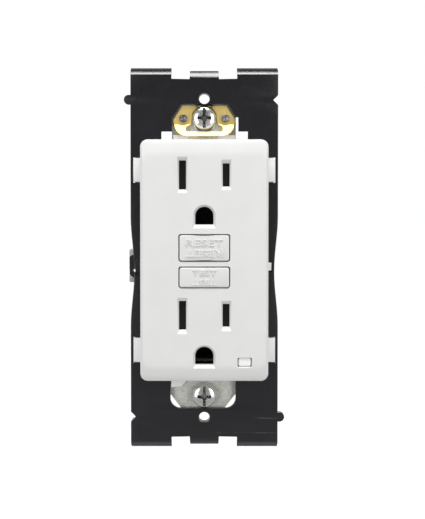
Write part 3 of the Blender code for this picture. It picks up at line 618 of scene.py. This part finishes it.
def make_lens():
    low, high = low_high("status_lens")
    front = low.y
    sections = [(front + drop, box_ring(LENS_X, LENS_Z, 3.7 - 2 * inset, 2.4 - 2 * inset, 0.5, 4))
                for inset, drop in ((0.5, 0.0), (0.25, 0.05), (0.08, 0.18), (0.0, 0.4), (0.0, 2.2))]
    lens = loft("status_light_lens", sections, smooth=50.0)
    pipe = box_ring(PIPE_X, LENS.z, 2.4, 2.2, 0.3, 4)
    fused(lens, [loft("light_pipe", [(front + 1.9, pipe), (high.y, pipe)])], 50.0)
    piece(lens, "device", "clear_plastic", CLEAR, "status_lens")


# ---- adapter plate ----

NOTCH_FLOOR, CENTRE_HALF, CENTRE_TOP, CORNER_IN = 54.4, 4.3, 57.5, 9.95
PANEL_FRONT, PANEL_BACK, SKIRT_BACK = -2.9, -1.6, -0.2
PLATE_HALF = 22.35
PLATE_TOP = 58.0
HOLE_Z = 48.42
WINDOW_TOP, WINDOW_BOTTOM = 35.5, -36.4
EAR_OUT, EAR_UPPER, EAR_LOWER = 21.45, (23.2, 30.45), (-31.45, -24.1)
RIGHT_NOTCH_Z, LEFT_NOTCH_Z = 48.0, -48.2


def plate_side(side, nub_z, notch_z):
    """One long edge, bottom to top: a nub, the long shallow pinch and a V notch."""
    nub_r, nub_out, notch = 1.45, 0.55, 1.5
    nub_points = ([(PLATE_HALF, nub_z - nub_r)] + arc(PLATE_HALF + nub_out, nub_z, nub_r, -90, 90, 20)
                  + [(PLATE_HALF, nub_z + nub_r)])
    notch_points = [(PLATE_HALF, notch_z - notch), (PLATE_HALF - notch, notch_z),
                    (PLATE_HALF, notch_z + notch)]
    pinch_z, pinch_reach, pinch_depth, steps = -3.85, 16.85, 1.1, 28
    pinch = []
    for i in range(steps + 1):
        share = 2 * i / steps - 1
        pinch.append((PLATE_HALF - pinch_depth / 2 * (1 + math.cos(math.pi * share)),
                      pinch_z + pinch_reach * share))
    features = sorted([nub_points, notch_points, pinch], key=lambda points: points[0][1])
    return [(side * x, z) for points in features for x, z in points]


def plate_outline():
    half_top = [(PLATE_HALF, PLATE_TOP), (CORNER_IN, PLATE_TOP), (CORNER_IN, NOTCH_FLOOR),
                (CENTRE_HALF + 0.15, NOTCH_FLOOR - 0.1), (CENTRE_HALF, CENTRE_TOP)]
    top = half_top + [(-x, z) for x, z in reversed(half_top)]
    bottom = [(-x, -z) for x, z in top]
    return (plate_side(1, -48.3, RIGHT_NOTCH_Z) + top + list(reversed(plate_side(-1, 48.1, LEFT_NOTCH_Z)))
            + bottom)


def plate_window():
    """The opening for the device: a tall rectangle with four ear notches and two necks."""
    side, room = 18.9, 0.2
    ear = EAR_OUT + room
    right = [(side, WINDOW_BOTTOM)]
    for low, high in (EAR_LOWER, EAR_UPPER):
        right += [(side, low - room), (ear, low - room), (ear, high + room), (side, high + room)]
    right += [(side, WINDOW_TOP)]
    top = [(9.8, WINDOW_TOP), (9.8, 42.5), (7.0, 46.75), (-7.0, 46.75), (-9.8, 42.5), (-9.8, WINDOW_TOP)]
    left = [(-x, z) for x, z in reversed(right)]
    bottom = [(-10.3, WINDOW_BOTTOM)] + arc(-7.1, -42.5, 3.2, 180, 270, 10)
    bottom += arc(6.3, -42.5, 3.2, 270, 360, 10) + [(9.5, WINDOW_BOTTOM)]
    return right + top + left + bottom


def slope_profile(side, start_z, run, first, last):
    """The cutter that rolls an end tab back: a convex curve from first to last degrees, as (y, z) points."""
    steps = 8
    points = [(PANEL_FRONT, start_z)]
    for i in range(steps):
        tilt = math.radians(first + (last - first) * (i + 0.5) / steps)
        y, z = points[-1]
        points.append((y + run / steps * math.tan(tilt), z + run / steps))
    y, z = points[-1]
    points += [(y + 0.5, z + 1.5), (PANEL_FRONT - 1.0, z + 1.5), (PANEL_FRONT - 1.0, start_z - 0.6)]
    return [(y, side * z) for y, z in points]


def plate_hole(side):
    """The cutter of one wall plate screw hole, with an eased mouth."""
    mouth = [(PANEL_FRONT - 0.5, 2.1), (PANEL_FRONT, 1.78), (PANEL_FRONT + 0.1, 1.64),
             (PANEL_FRONT + 0.25, 1.6), (1.0, 1.6)]
    return turned("hole", (0.0, side * HOLE_Z), mouth)


def corner_slope(side, low, high):
    profile = slope_profile(side, 55.7, 2.3, 25.0, 52.0)
    return slab("corner_slope", [profile], low - 0.3, high + 0.3, axis="X")


def centre_slope(side):
    profile = slope_profile(side, 54.7, 2.9, 20.0, 44.0)
    return slab("centre_slope", [profile], -CENTRE_HALF - 0.4, CENTRE_HALF + 0.4, axis="X")


def edge_notch(side, z):
    reach = 2.1
    corners = [(side * (PLATE_HALF + 0.6), z - reach), (side * (PLATE_HALF - 1.5), z),
               (side * (PLATE_HALF + 0.6), z + reach)]
    return slab("edge_notch", [corners], -4.0, 1.0)


def make_plate():
    """The panel, joined with separately carved rails, lips, bosses, ribs, loops and moulded marks."""
    plate = slab("plate_panel", [plate_outline(), plate_window()], PANEL_FRONT, PANEL_BACK, ease=0.16,
                 smooth=25.0)
    corners = ((CORNER_IN, PLATE_HALF - 0.05), (-PLATE_HALF + 0.05, -CORNER_IN))
    cutters, works = [], []
    for side in (-1, 1):
        cutters += [plate_hole(side), centre_slope(side)]
        cutters += [corner_slope(side, *corner) for corner in corners]
    carve(plate, cutters, smooth=22.0)
    for side in (-1, 1):
        notch_z = RIGHT_NOTCH_Z if side > 0 else LEFT_NOTCH_Z
        rail_x = mirrored(side, 21.75, PLATE_HALF - 0.05)
        for low, high in ((-56.5, -21.3), (14.1, 56.5)):
            rail = block("rail", (rail_x[0], PANEL_BACK - 0.4, low), (rail_x[1], SKIRT_BACK, high))
            works.append(carve(rail, [edge_notch(side, notch_z)]))
        ends = mirrored(side, 56.2, PLATE_TOP - 0.05)
        for low, high in corners:
            lip = block("tab_lip", (low + 0.02, PANEL_BACK - 0.6, ends[0]),
                        (high - 0.02, SKIRT_BACK - 0.01, ends[1]))
            works.append(carve(lip, [corner_slope(side, low, high)], smooth=22.0))
        ends = mirrored(side, 53.0, 55.4)
        lip = block("centre_lip", (-CENTRE_HALF + 0.1, PANEL_BACK - 0.4, ends[0]),
                    (CENTRE_HALF - 0.1, SKIRT_BACK, ends[1]))
        works.append(carve(lip, [centre_slope(side)]))
        boss = turned("hole_boss", (0.0, side * HOLE_Z), [(PANEL_BACK - 0.3, 2.9), (SKIRT_BACK - 0.3, 2.9)])
        works.append(carve(boss, [plate_hole(side)]))
        ends = mirrored(side, 47.4, 52.6)
        works += [block("back_rib", (x - 0.5, PANEL_BACK - 0.3, ends[0]), (x + 0.5, SKIRT_BACK - 0.2, ends[1]))
                  for x in (-14.6, 14.6)]
    left_eye = eased([(-20.1, -5.4), (-20.1, -0.4), (-21.7, -0.4), (-21.7, -4.0)], 0.4)
    left_loop = eased([(-19.2, -7.0), (-19.2, 1.0), (-22.7, 1.0), (-22.7, -5.0)], 0.9)
    right_eye = (18.4, -4.0, -4.1), (20.6, 3.0, -1.2)
    works.append(slab("left_loop", [left_loop, left_eye], PANEL_BACK - 1.0, 0.0))
    works.append(carve(block("right_loop", (19.2, PANEL_BACK - 0.5, -5.2), (21.2, 0.0, -0.4)),
                       [block("right_eye", *right_eye)]))
    carve(plate, [slab("left_eye", [left_eye], -4.0, 3.0), block("right_eye", *right_eye)], smooth=22.0)
    raised = (PANEL_FRONT - 0.07, PANEL_FRONT + 0.3)
    for z, outer in ((HOLE_Z, 3.45), (-HOLE_Z, 2.6)):
        works.append(slab("hole_ring", [circle(0.0, z, outer), circle(0.0, z, outer - 0.3)], *raised,
                          ease=0.05))
    for z in (-48.7, -53.2):
        works.append(block("moulded_line", (2.4, raised[0], z - 0.12), (PLATE_HALF - 0.3, raised[1], z + 0.12),
                           0.05))
    together(plate, works, 22.0)
    piece(plate, "device", "black_plastic", BLACK, "adapter_plate")


# ---- strap, clip and fixings ----

def strap_outline():
    half = [(13.4, -33.5), (13.4, 33.5), (10.3, 36.5), (10.3, 42.6), (7.3, 47.1)]
    left = [(-x, z) for x, z in reversed(half)]
    bottom = [(-13.4, -33.5), (-10.8, -36.0), (-10.8, -41.2), (-7.0, -46.2), (6.1, -46.2), (10.0, -41.2),
              (10.0, -36.0)]
    return half + left[:-2] + [(-13.4, 33.5)] + bottom


def make_strap():
    low, high = low_high("strap")
    loops = [eased(strap_outline(), 0.35, 3)]
    loops += [box_ring(0.0, z, 6.4, 5.4, 2.1, 10) for z in (MOUNT_Z, -MOUNT_Z)]
    loops += [circle(side * RIVET_X, RIVET_Z, 1.0, 24) for side in (-1, 1)]
    loops += [ground_loop(z, 0.5) for z in (UPPER_GROUND, LOWER_GROUND)]
    loops += [box_ring(0.0, 24.6, 22.8, 14.2, 1.0), box_ring(0.0, -6.7, 22.8, 32.4, 1.0),
              box_ring(PIPE_X, LENS.z, 3.6, 3.6, 0.2)]
    strap = slab("yoke_strap", loops, low.y, high.y, ease=0.22)
    piece(strap, "device", "zinc_steel", STEEL, "strap")


def make_clip():
    """The brass clip: a hexagonal head with a keyhole and a curled, crescent-shaped tongue."""
    low, high = low_high("ground_clip")
    back, front, thick = high.y, -2.2, 0.6
    bend_z, tip_z = 40.8, low.z
    steps = 14
    outside, inside = [], []
    for i in range(steps + 1):
        t = i / steps
        z = bend_z + (tip_z - bend_z) * t
        out = (low.y - front) * (t ** 1.1)
        outside.append((front + out, z))
        inside.append((front + out + thick * (1 - 0.12 * t), z - 0.05 * (1 - t)))
    profile = [(back, 47.0), (front, 47.0)] + outside + inside[::-1]
    clip = slab("bonding_clip", [profile], -9.8, 9.8, axis="X")
    crescent = []
    for i in range(13):
        angle = math.pi * (1 + i / 12)
        crescent.append((4.9 * math.copysign(1, math.cos(angle)) + 4.3 * math.cos(angle),
                         tip_z + 4.1 + 4.1 * math.sin(angle)))
    front_outline = [(-9.4, 40.9), *crescent, (9.4, 40.9), (9.4, 42.2), (6.7, 46.4), (-6.7, 46.4),
                     (-9.4, 42.2)]
    trim = slab("clip_trim", [box_ring(0, 42.0, 30.0, 30.0, 0.5), front_outline], -8.0, 1.0)
    keyhole = (arc(0.0, UPPER, 3.9, 155, 25, 16)
               + eased([(4.2, 40.6), (5.6, 39.9), (5.6, 38.4), (-5.6, 38.4), (-5.6, 39.9), (-4.2, 40.6)],
                       [0.8, 0.9, 1.5, 1.5, 0.9, 0.8], 6))
    cutters = [trim, slab("keyhole", [keyhole], -8.0, 1.0)]
    cutters += [turned("rivet_hole", (side * RIVET_X, RIVET_Z), [(-6.0, 1.0), (1.0, 1.0)]) for side in (-1, 1)]
    carve(clip, cutters)
    soften(clip, 0.1)
    piece(clip, "device", "brass", BRASS, "ground_clip")


def make_rivet(name, side):
    """An eyelet rivet set with a six-pointed star punch."""
    low, high = low_high(name)
    radius, points, steps = 1.2, 6, 48
    # Each section is a place along Y, a radius and how deep the punch's points sink there
    sections = [(low.y + lift, radius * share, dent) for share, lift, dent in (
        (0.02, 0.3, 0.0), (0.3, 0.26, 0.10), (0.55, 0.12, 0.16), (0.78, 0.02, 0.13), (0.93, 0.06, 0.03),
        (1.0, 0.2, 0.0), (1.0, 0.4, 0.0))]
    sections += [(low.y + 0.42, 0.7, 0.0), (high.y - 0.4, 0.7, 0.0), (high.y - 0.38, 1.15, 0.0),
                 (high.y - 0.08, radius, 0.0), (high.y, 1.1, 0.0)]
    rivet = loft(name + "_star", [(y, circle(side * RIVET_X, RIVET_Z, r, steps)) for y, r, dent in sections],
                 smooth=60.0)
    for k, (y, r, dent) in enumerate(sections):
        for i in range(steps):
            wave = max(0.0, math.cos(points * 2 * math.pi * i / steps + 0.6))
            rivet.data.vertices[k * steps + i].co.y += dent * wave * MM
    piece(rivet, "device", "zinc_steel", PUNCHED, name)


def make_rivets():
    make_rivet("left_clip_rivet", -1)
    make_rivet("right_clip_rivet", 1)


def make_mounting_screw(name, z):
    """A domed screw with a combined slot and square-cornered cross recess."""
    low, high = low_high(name)
    front, under, shank, steps = low.y, -2.5, 1.75, 12
    dome = []
    for i in range(steps + 1):
        share = i / steps
        dome.append((front + 1.25 * (1 - math.sqrt(max(0.0, 1 - (0.985 * share) ** 2.3))), 3.45 * share))
    profile = dome + [(-2.95, 3.52), (under - 0.15, 3.55), (under, 3.45), (under + 0.001, shank), (0.0, shank),
                      (high.y - 1.2, shank), (high.y - 0.4, 1.2), (high.y, 0.8)]
    screw = turned(name + "_body", (0.0, z), profile, threads=(0.0, high.y - 1.2))
    recess = [block("recess", (-x, front - 1.0, z - reach), (x, front + deep, z + reach))
              for x, deep, reach in ((0.42, 0.95, 3.0), (2.0, 1.15, 0.42), (0.42, 1.15, 2.0), (1.0, 1.6, 1.0))]
    turn = Matrix.Translation((0, 0, z * MM)) @ Matrix.Rotation(math.radians(45), 4, 'Y')
    recess[-1].data.transform(turn @ Matrix.Translation((0, 0, -z * MM)))
    carve(screw, recess, smooth=40.0)
    soften(screw, 0.06, 2, 50.0)
    piece(screw, name, "zinc_steel", SCREW, name)


def make_mounting_screws():
    make_mounting_screw("upper_mounting_screw", UPPER)
    make_mounting_screw("lower_mounting_screw", LOWER)


def make_retainers():
    """Fibre washers that hold the mounting screws, with a toothed bore."""
    for name, z in (("upper_screw_retainer", UPPER), ("lower_screw_retainer", LOWER)):
        low, high = low_high(name)
        teeth, steps = 6, 48
        bore = []
        for i in range(steps):
            angle = 2 * math.pi * i / steps
            size = 2.12 + 0.1 * math.cos(teeth * angle)
            bore.append((size * math.cos(angle), z + size * math.sin(angle)))
        washer = slab(name + "_washer", [circle(0.0, z, high.x, steps), bore], low.y, high.y)
        piece(soften(washer, 0.1), name, "shutter_grey", INSULATOR, name)


# ---- front cover ----

def make_cover():
    """The tray behind the face, with its flanges, ears, hooks, lips, foot, button well and openings."""
    front, back, wall, half_w, half_h = low_high("front_cover")[0].y, 0.0, 1.3, 17.0, 33.6
    full = box_ring(0, 0, 2 * half_w, 2 * half_h, 1.6)
    cover = loft("cover_tray", [(front, box_ring(0, 0, 2 * half_w - 1.0, 2 * half_h - 1.0, 1.3)),
                                (front + 0.5, full), (back, full)])
    room = slab("room", [box_ring(0, 0, 2 * (half_w - wall), 2 * (half_h - wall), 0.6)], front + 1.4, 3.0)
    carve(cover, [room])
    added, gates = [], []
    for side in (-1, 1):
        ends = mirrored(side, 33.0, 35.0)
        added.append(block("end_flange", (-15.5, -4.0, ends[0]), (15.5, -1.6, ends[1]), 0.15))
        across = mirrored(side, half_w - 0.5, EAR_OUT)
        added += [block("ear", (across[0], -3.3, bottom), (across[1], -1.6, top), 0.22)
                  for bottom, top in (EAR_UPPER, EAR_LOWER)]
        ends = mirrored(side, 31.0, 34.5)
        gates.append(block("strap_gate", (-13.8, -1.6, ends[0]), (13.8, 1.0, ends[1])))
    added += [block("hook", (left, -4.1, 34.6), (right, -3.2, 38.3), 0.2)
              for left, right in ((-12.9, -9.7), (10.0, 13.1))]
    added += [block("end_lip", (left, -2.3, 34.6), (right, -1.7, 37.5), 0.12)
              for left, right in ((-9.5, -4.8), (4.2, 9.5))]
    added.append(block("end_rib", (9.45, -3.9, 34.6), (10.25, -3.3, 42.6), 0.2))
    added.append(block("side_latch", (half_w - 0.5, -3.2, -3.6), (20.3, -1.9, -1.2), 0.15))
    foot = [(-10.0, -34.6), (-5.7, -34.6), (-5.7, -37.3), (-7.0, -38.6), (-10.0, -39.0)]
    added.append(slab("foot", [eased(foot, [0.0, 0.0, 0.5, 0.5, 0.3])], -3.8, -1.8, ease=0.15))
    fused(cover, added)
    carve(cover, gates)
    fused(cover, [slab("well", [box_ring(0, -0.1, 16.8, 18.2, 0.8)], front + 0.4, 1.7)])
    carve(cover, [slab("well_room", [box_ring(0, -0.1, 15.2, 16.6, 0.6)], front - 1.0, 0.6)])
    openings = [ground_loop(z, 0.4) for z in (UPPER_GROUND, LOWER_GROUND)]
    openings += [box_ring(x, z, width + 0.8, height + 0.8, 0.3)
                 for z in (UPPER_SLOTS, LOWER_SLOTS) for x, width, height in BLADES]
    openings.append(box_ring(PIPE_X, LENS.z, 3.5, 3.4, 0.2))
    cutters = [turned("stem_hole", (0.0, z), [(-1.0, 1.9), (3.0, 1.9)]) for z in (RESET_Z, TEST_Z)]
    carve(cover, cutters + [slab("opening", [loop], front - 1.0, -5.5) for loop in openings])
    screws = [(x, z) for x in (-CASE_SCREW_X, CASE_SCREW_X) for z in (-CASE_SCREW_Z, CASE_SCREW_Z)]
    fused(cover, [turned("boss", place, [(-4.0, 2.3), (0.0, 2.3)]) for place in screws])
    carve(cover, [turned("boss_hole", place, [(-5.6, 1.5), (1.0, 1.5)]) for place in screws])
    # The cover takes the paler white: painted light on its ears
    piece(cover, "device", "white_plastic", COVER_WHITE_PAINTED_LIGHT, "front_cover")


# ---- rear case ----

def make_rear_case():
    """The deep grey shell, with terminal windows, wire holes, screw bosses, ribs and moulded marks."""
    front, back = case_low.y, case_high.y
    half_w, half_h, wall, edge, steps = case_high.x, case_high.z, 1.6, 1.6, 6
    sections = [(front, box_ring(0, 0, 2 * half_w, 2 * half_h, 2.0, 8))]
    for i in range(steps + 1):
        angle = math.pi / 2 * i / steps
        inset = edge * (1 - math.cos(angle))
        sections.append((back - edge * (1 - math.sin(angle)),
                         box_ring(0, 0, 2 * (half_w - inset), 2 * (half_h - inset), 2.0 - 0.6 * inset, 8)))
    case = loft("case_shell", sections)
    room = box_ring(0, 0, 2 * (half_w - wall), 2 * (half_h - wall), 1.0)
    carve(case, [slab("room", [room], -1.0, back - wall)])
    windows, bosses, holes, ribs = [], [], [], []
    for side_x in (-1, 1):
        for side_z in (-1, 1):
            across, ends = mirrored(side_x, 18.0, 23.0), mirrored(side_z, TERMINAL_Z - 5.4, TERMINAL_Z + 5.4)
            windows.append(block("window", (across[0], 6.4, ends[0]), (across[1], 17.8, ends[1])))
            holes += [turned("wire_hole", (side_x * 18.4, side_z * TERMINAL_Z + offset),
                             [(24.0, 1.2), (back - 0.5, 1.2), (back + 0.5, 2.2)], steps=32)
                      for offset in (-3.0, 3.0)]
            screw = (side_x * CASE_SCREW_X, side_z * CASE_SCREW_Z)
            bosses.append(turned("case_boss", screw, [(0.6, 2.3), (back - 0.5, 2.3)]))
            holes.append(turned("case_hole", screw, [(-1.0, 1.5), (28.0, 1.5)]))
            holes.append(turned("counterbore", screw, [(back - 0.3, 2.75), (28.0, 2.75)]))
        across = mirrored(side_x, half_w - 0.2, half_w + 0.45)
        ribs += [block("side_rib", (across[0], 3.2, z - 0.5), (across[1], 22.5, z + 0.5), 0.12)
                 for z in (-24.4, -9.6, 9.6, 24.4)]
    bosses += [block("side_block", (-23.2, 0.6, low), (-21.0, 5.5, high), 0.4)
               for low, high in ((-3.6, 2.6), (-7.6, -5.2))]
    fused(case, bosses)
    carve(case, windows)
    carve(case, holes)
    fused(case, ribs)
    marks = [slab("back_panel", [box_ring(0, 0, 24.0, 40.0, 1.2)], back - 0.35, back + 1.0)]
    marks += [turned("ejector_mark", (0.0, z), [(back - 0.2, 2.0), (back + 1.0, 2.0)]) for z in (-27.5, 27.5)]
    marks.append(block("strip_gauge", (-8.0, back - 0.8, 23.2), (8.0, back + 1.0, 24.2)))
    carve(case, marks)
    piece(soften(case, 0.12), "device", "grey_plastic", GREY, "rear_case")


def make_case_screw(name, x, z):
    low, high = low_high(name)
    end, shank = high.y, 1.15
    profile = [(low.y, 0.5), (low.y + 0.9, shank), (6.0, shank), (end - 1.6, shank), (end - 1.599, 2.3),
               (end - 1.1, 2.4), (end - 0.6, 2.2), (end - 0.2, 1.6), (end, 0.7), (end + 0.001, 0.01)]
    screw = turned(name + "_body", (x, z), profile, steps=32, pitch=0.8, depth=0.22,
                   threads=(low.y + 0.9, 6.0))
    cross = [block("cross", (x - reach, end - 0.9, z - across), (x + reach, end + 1.0, z + across))
             for reach, across in ((1.3, 0.28), (0.28, 1.3))]
    carve(screw, cross, smooth=40.0)
    piece(screw, "device", "zinc_steel", NICKEL, name)


def make_case_screws():
    for level, z in (("upper", CASE_SCREW_Z), ("lower", -CASE_SCREW_Z)):
        for side, x in (("left", -CASE_SCREW_X), ("right", CASE_SCREW_X)):
            make_case_screw("%s_%s_case_screw" % (level, side), x, z)


# ---- terminals ----

def terminal_screw(name, side, y, z):
    """A binding screw, turned head first along X and then moved to its own side."""
    low, high = low_high(name + "_screw")
    length, shank = high.x - low.x, 1.9
    outer = high.x if side > 0 else low.x
    profile = [(0.0, 0.3), (0.02, 2.2), (0.12, 3.0), (0.4, 3.55), (0.9, 3.7), (1.8, 3.7), (2.0, 3.6),
               (2.001, shank), (2.6, shank), (length - 0.7, shank), (length, 1.2)]
    screw = turned(name + "_binding_screw", (y, z), profile, axis="X", steps=40, threads=(2.6, length - 0.7))
    move = Matrix.Translation((outer * MM, 0, 0))
    if side > 0:
        screw.data.transform(move @ Matrix.Scale(-1, 4, (1, 0, 0)))
        screw.data.flip_normals()
    else:
        screw.data.transform(move)
    recess = []
    for deep, half_y, half_z in ((1.0, 4.2, 0.5), (1.0, 0.42, 2.0), (1.3, 0.95, 0.95)):
        across = sorted((outer + side * 1.0, outer - side * deep))
        recess.append(block("recess", (across[0], y - half_y, z - half_z),
                            (across[1], y + half_y, z + half_z)))
    carve(screw, recess, smooth=40.0)
    return soften(screw, 0.06, 2, 50.0)


def make_terminal(name, side, slot, plated, bright):
    """A fixed plate in the case's pocket, the clamp plate behind it and the screw through both."""
    y, z = middle(name + "_screw").y, middle(name + "_screw").z
    low, high = low_high(name + "_plate")
    plate = slab(name + "_strip", [box_ring(y, z, 10.8, 10.2, 0.5), circle(y, z, 2.2)], low.x, high.x,
                 axis="X")
    piece(soften(plate, 0.1), "device", slot, plated, name + "_plate")
    low, high = low_high(name + "_clamp")
    clamp = slab(name + "_pressure_plate", [box_ring(y, z, 9.6, 9.2, 0.7), circle(y, z, 2.2)], low.x, high.x,
                 axis="X")
    face = high.x if side > 0 else low.x
    across = sorted((face - side * 0.35, face + side * 0.1))
    grooves = [z + offset for offset in (-3.6, -2.9, 2.9, 3.6)]
    carve(clamp, [block("groove", (across[0], y - 5.5, groove - 0.16), (across[1], y + 5.5, groove + 0.16))
                  for groove in grooves])
    piece(soften(clamp, 0.08), name + "_clamp", slot, plated, name + "_clamp")
    piece(terminal_screw(name, side, y, z), name + "_screw", slot, bright, name + "_screw")


def make_terminals():
    for tone, *looks in (("neutral", -1, "zinc_steel", STEEL, NICKEL),
                         ("hot", 1, "brass", BRASS, BRASS_SCREW)):
        for use in ("load", "line"):
            make_terminal("%s_%s" % (use, tone), *looks)


def make_ground_screw():
    """A six-sided slotted head over a round flange, on a threaded shank along X."""
    y, z = 8.0, -38.6
    low, high = low_high("ground_screw")
    flange, shank, steps = 3.95, 1.7, 48

    def around(reach_at):
        angles = [2 * math.pi * i / steps for i in range(steps)]
        return [(y + reach_at(a) * math.cos(a), z + reach_at(a) * math.sin(a)) for a in angles]

    def hexagon(share):
        return around(lambda a: share * 3.4 / math.cos((a % (math.pi / 3)) - math.pi / 6))

    def disc(radius):
        return around(lambda a: radius)

    head_end = low.x + 2.3
    head = loft("ground_screw_body", [
        (low.x, hexagon(0.05)), (low.x + 0.01, hexagon(0.82)), (low.x + 0.3, hexagon(0.97)),
        (low.x + 0.5, hexagon(1.0)), (head_end - 0.6, hexagon(1.0)), (head_end - 0.5, disc(flange)),
        (head_end, disc(flange)), (head_end + 0.001, disc(shank))], axis="X")
    profile = [(head_end - 0.3, shank), (head_end + 0.4, shank), (high.x - 0.8, shank), (high.x, 1.1)]
    fused(head, [turned("shank", (y, z), profile, axis="X", steps=40, depth=0.34,
                        threads=(head_end + 0.4, high.x - 0.8))], 40.0)
    slot = block("slot", (low.x - 1.0, y - 5.0, z - 0.45), (low.x + 1.0, y + 5.0, z + 0.45))
    carve(head, [slot], smooth=40.0)
    soften(head, 0.06, 2, 50.0)
    piece(head, "ground_screw", "green_steel", GREEN, "ground_screw")


# ---- the hidden works ----

def make_windings():
    """Wire laid turn by turn where the CAD has a plain ring."""
    low, high = low_high("solenoid_winding")
    centre = middle("solenoid_winding")
    place, wire, layers = (centre.x, centre.y), 0.16, 3
    turns = (high.z - low.z - 2 * wire) / (2.02 * wire)
    core = turned("core", place, [(low.z, 3.25), (low.z + 0.01, 3.75), (high.z - 0.01, 3.75), (high.z, 3.25)],
                  axis="Z")
    together(core, [coil("layer", place, high.x - centre.x - wire - layer * 2.0 * wire, wire, low.z + wire,
                         high.z - wire, turns) for layer in range(layers)])
    core.name = "solenoid_turns"
    piece(core, "device", "copper", COPPER, "solenoid_winding")


CARRIED = {
    "ground_tab": STEEL, "reset_pin": NICKEL, "reset_spring": NICKEL, "upper_shutter": SHUTTER,
    "lower_shutter": SHUTTER, "upper_shutter_spring": NICKEL, "lower_shutter_spring": NICKEL,
    "contact_carrier": INSULATOR, "neutral_contacts": BRONZE, "hot_contacts": BRONZE,
    # The ground contacts take the bronze with painted shade
    "upper_ground_contact": BRONZE_PAINTED_SHADE, "lower_ground_contact": BRONZE_PAINTED_SHADE, "contact_carriage": INSULATOR,
    "neutral_moving_contact": COPPER, "hot_moving_contact": COPPER, "latch_plate": STEEL,
    "trip_plunger": NICKEL, "plunger_spring": NICKEL, "solenoid_bobbin": NYLON, "solenoid_frame": STEEL,
    "test_contact": BRONZE, "circuit_board": BOARD, "sensor_cup": INSULATOR, "sensing_coil": COPPER,
    "neutral_fault_coil": COPPER, "surge_varistor": BLUE, "filter_capacitor": BLUE,
}


def dress_carried():
    for name, material in CARRIED.items():
        for slot in nodes[name].material_slots:
            slot.material = material


# ---- floor, light and camera ----

def make_stage():
    side, top, thick = 40e3, -0.45e3, 0.01e3
    outline = box_ring(0, 0, side, side, 100.0)
    floor = loft("floor", [(top - thick, outline), (top, outline)], axis="Z")
    made, tree, shader = nodes_of("pale_floor")
    tree.links.new(two_tone(tree, noise(tree, 2.0), (0.90, 0.90, 0.90), (0.92, 0.92, 0.92)),
                   shader.inputs['Base Color'])
    shader.inputs['Roughness'].default_value = 0.8
    shader.inputs['Emission Color'].default_value = (1.0, 1.0, 1.0, 1.0)
    shader.inputs['Emission Strength'].default_value = 0.5
    floor.data.materials.append(made)
    floor.visible_diffuse = False
    floor.visible_glossy = False


def area_light(name, place, size, radiance, target=(0.0, 0.0, 0.0)):
    lamp = bpy.data.lights.new(name, 'AREA')
    lamp.shape = 'RECTANGLE'
    lamp.size, lamp.size_y = size
    lamp.energy = radiance * math.pi * size[0] * size[1]
    made = bpy.data.objects.new(name, lamp)
    bpy.context.scene.collection.objects.link(made)
    made.location = place
    made.rotation_mode = 'QUATERNION'
    made.rotation_quaternion = (Vector(target) - Vector(place)).to_track_quat('-Z', 'Y')


def make_light():
    """Softboxes above and at both sides, and a surround that brightens behind and below."""
    area_light("top_softbox", (0.0, -0.29, 0.755), (0.50, 0.24), 14.0)
    for side in (-1, 1):
        area_light("side_softbox", (side * 0.62, -0.62, 0.10), (0.45, 0.70), 3.0)
    world = bpy.data.worlds.new("studio")
    bpy.context.scene.world = world
    world.use_nodes = True
    tree = world.node_tree
    background = tree.nodes["Background"]
    place = tree.nodes.new('ShaderNodeTexCoord')
    parts = tree.nodes.new('ShaderNodeSeparateXYZ')
    tree.links.new(place.outputs['Generated'], parts.inputs['Vector'])
    both = tree.nodes.new('ShaderNodeMath')
    tree.links.new(ranged(tree, parts.outputs['Y'], (-0.3, 0.6), (0.0, 0.9)), both.inputs[0])
    tree.links.new(ranged(tree, parts.outputs['Z'], (-0.4, 0.3), (0.36, 0.16)), both.inputs[1])
    seen = tree.nodes.new('ShaderNodeLightPath')
    choice = tree.nodes.new('ShaderNodeMix')
    choice.data_type = 'FLOAT'
    choice.inputs['B'].default_value = 1.0
    tree.links.new(both.outputs['Value'], choice.inputs['A'])
    tree.links.new(seen.outputs['Is Camera Ray'], choice.inputs['Factor'])
    tree.links.new(choice.outputs['Result'], background.inputs['Strength'])
    background.inputs['Color'].default_value = (1.0, 1.0, 1.0, 1.0)
    bpy.context.scene.view_settings.view_transform = 'Standard'


def make_camera():
    camera = bpy.data.cameras.new("camera")
    camera.sensor_fit = 'AUTO'
    camera.sensor_width = 24.0
    camera.lens = 28.56
    camera.shift_x, camera.shift_y = 0.0158, -0.073
    camera.clip_start = 0.01
    made = bpy.data.objects.new("camera", camera)
    bpy.context.scene.collection.objects.link(made)
    made.location = (0.0, -0.190, 0.0142)
    made.rotation_euler = (math.radians(90 - 0.91), 0.0, 0.0)
    bpy.context.scene.camera = made


make_camera()
make_light()
make_stage()
make_face()
make_throats()
make_buttons()
make_lens()
make_plate()
make_strap()
make_clip()
make_rivets()
make_mounting_screws()
make_retainers()
make_cover()
make_rear_case()
make_case_screws()
make_terminals()
make_ground_screw()
make_windings()
dress_carried()
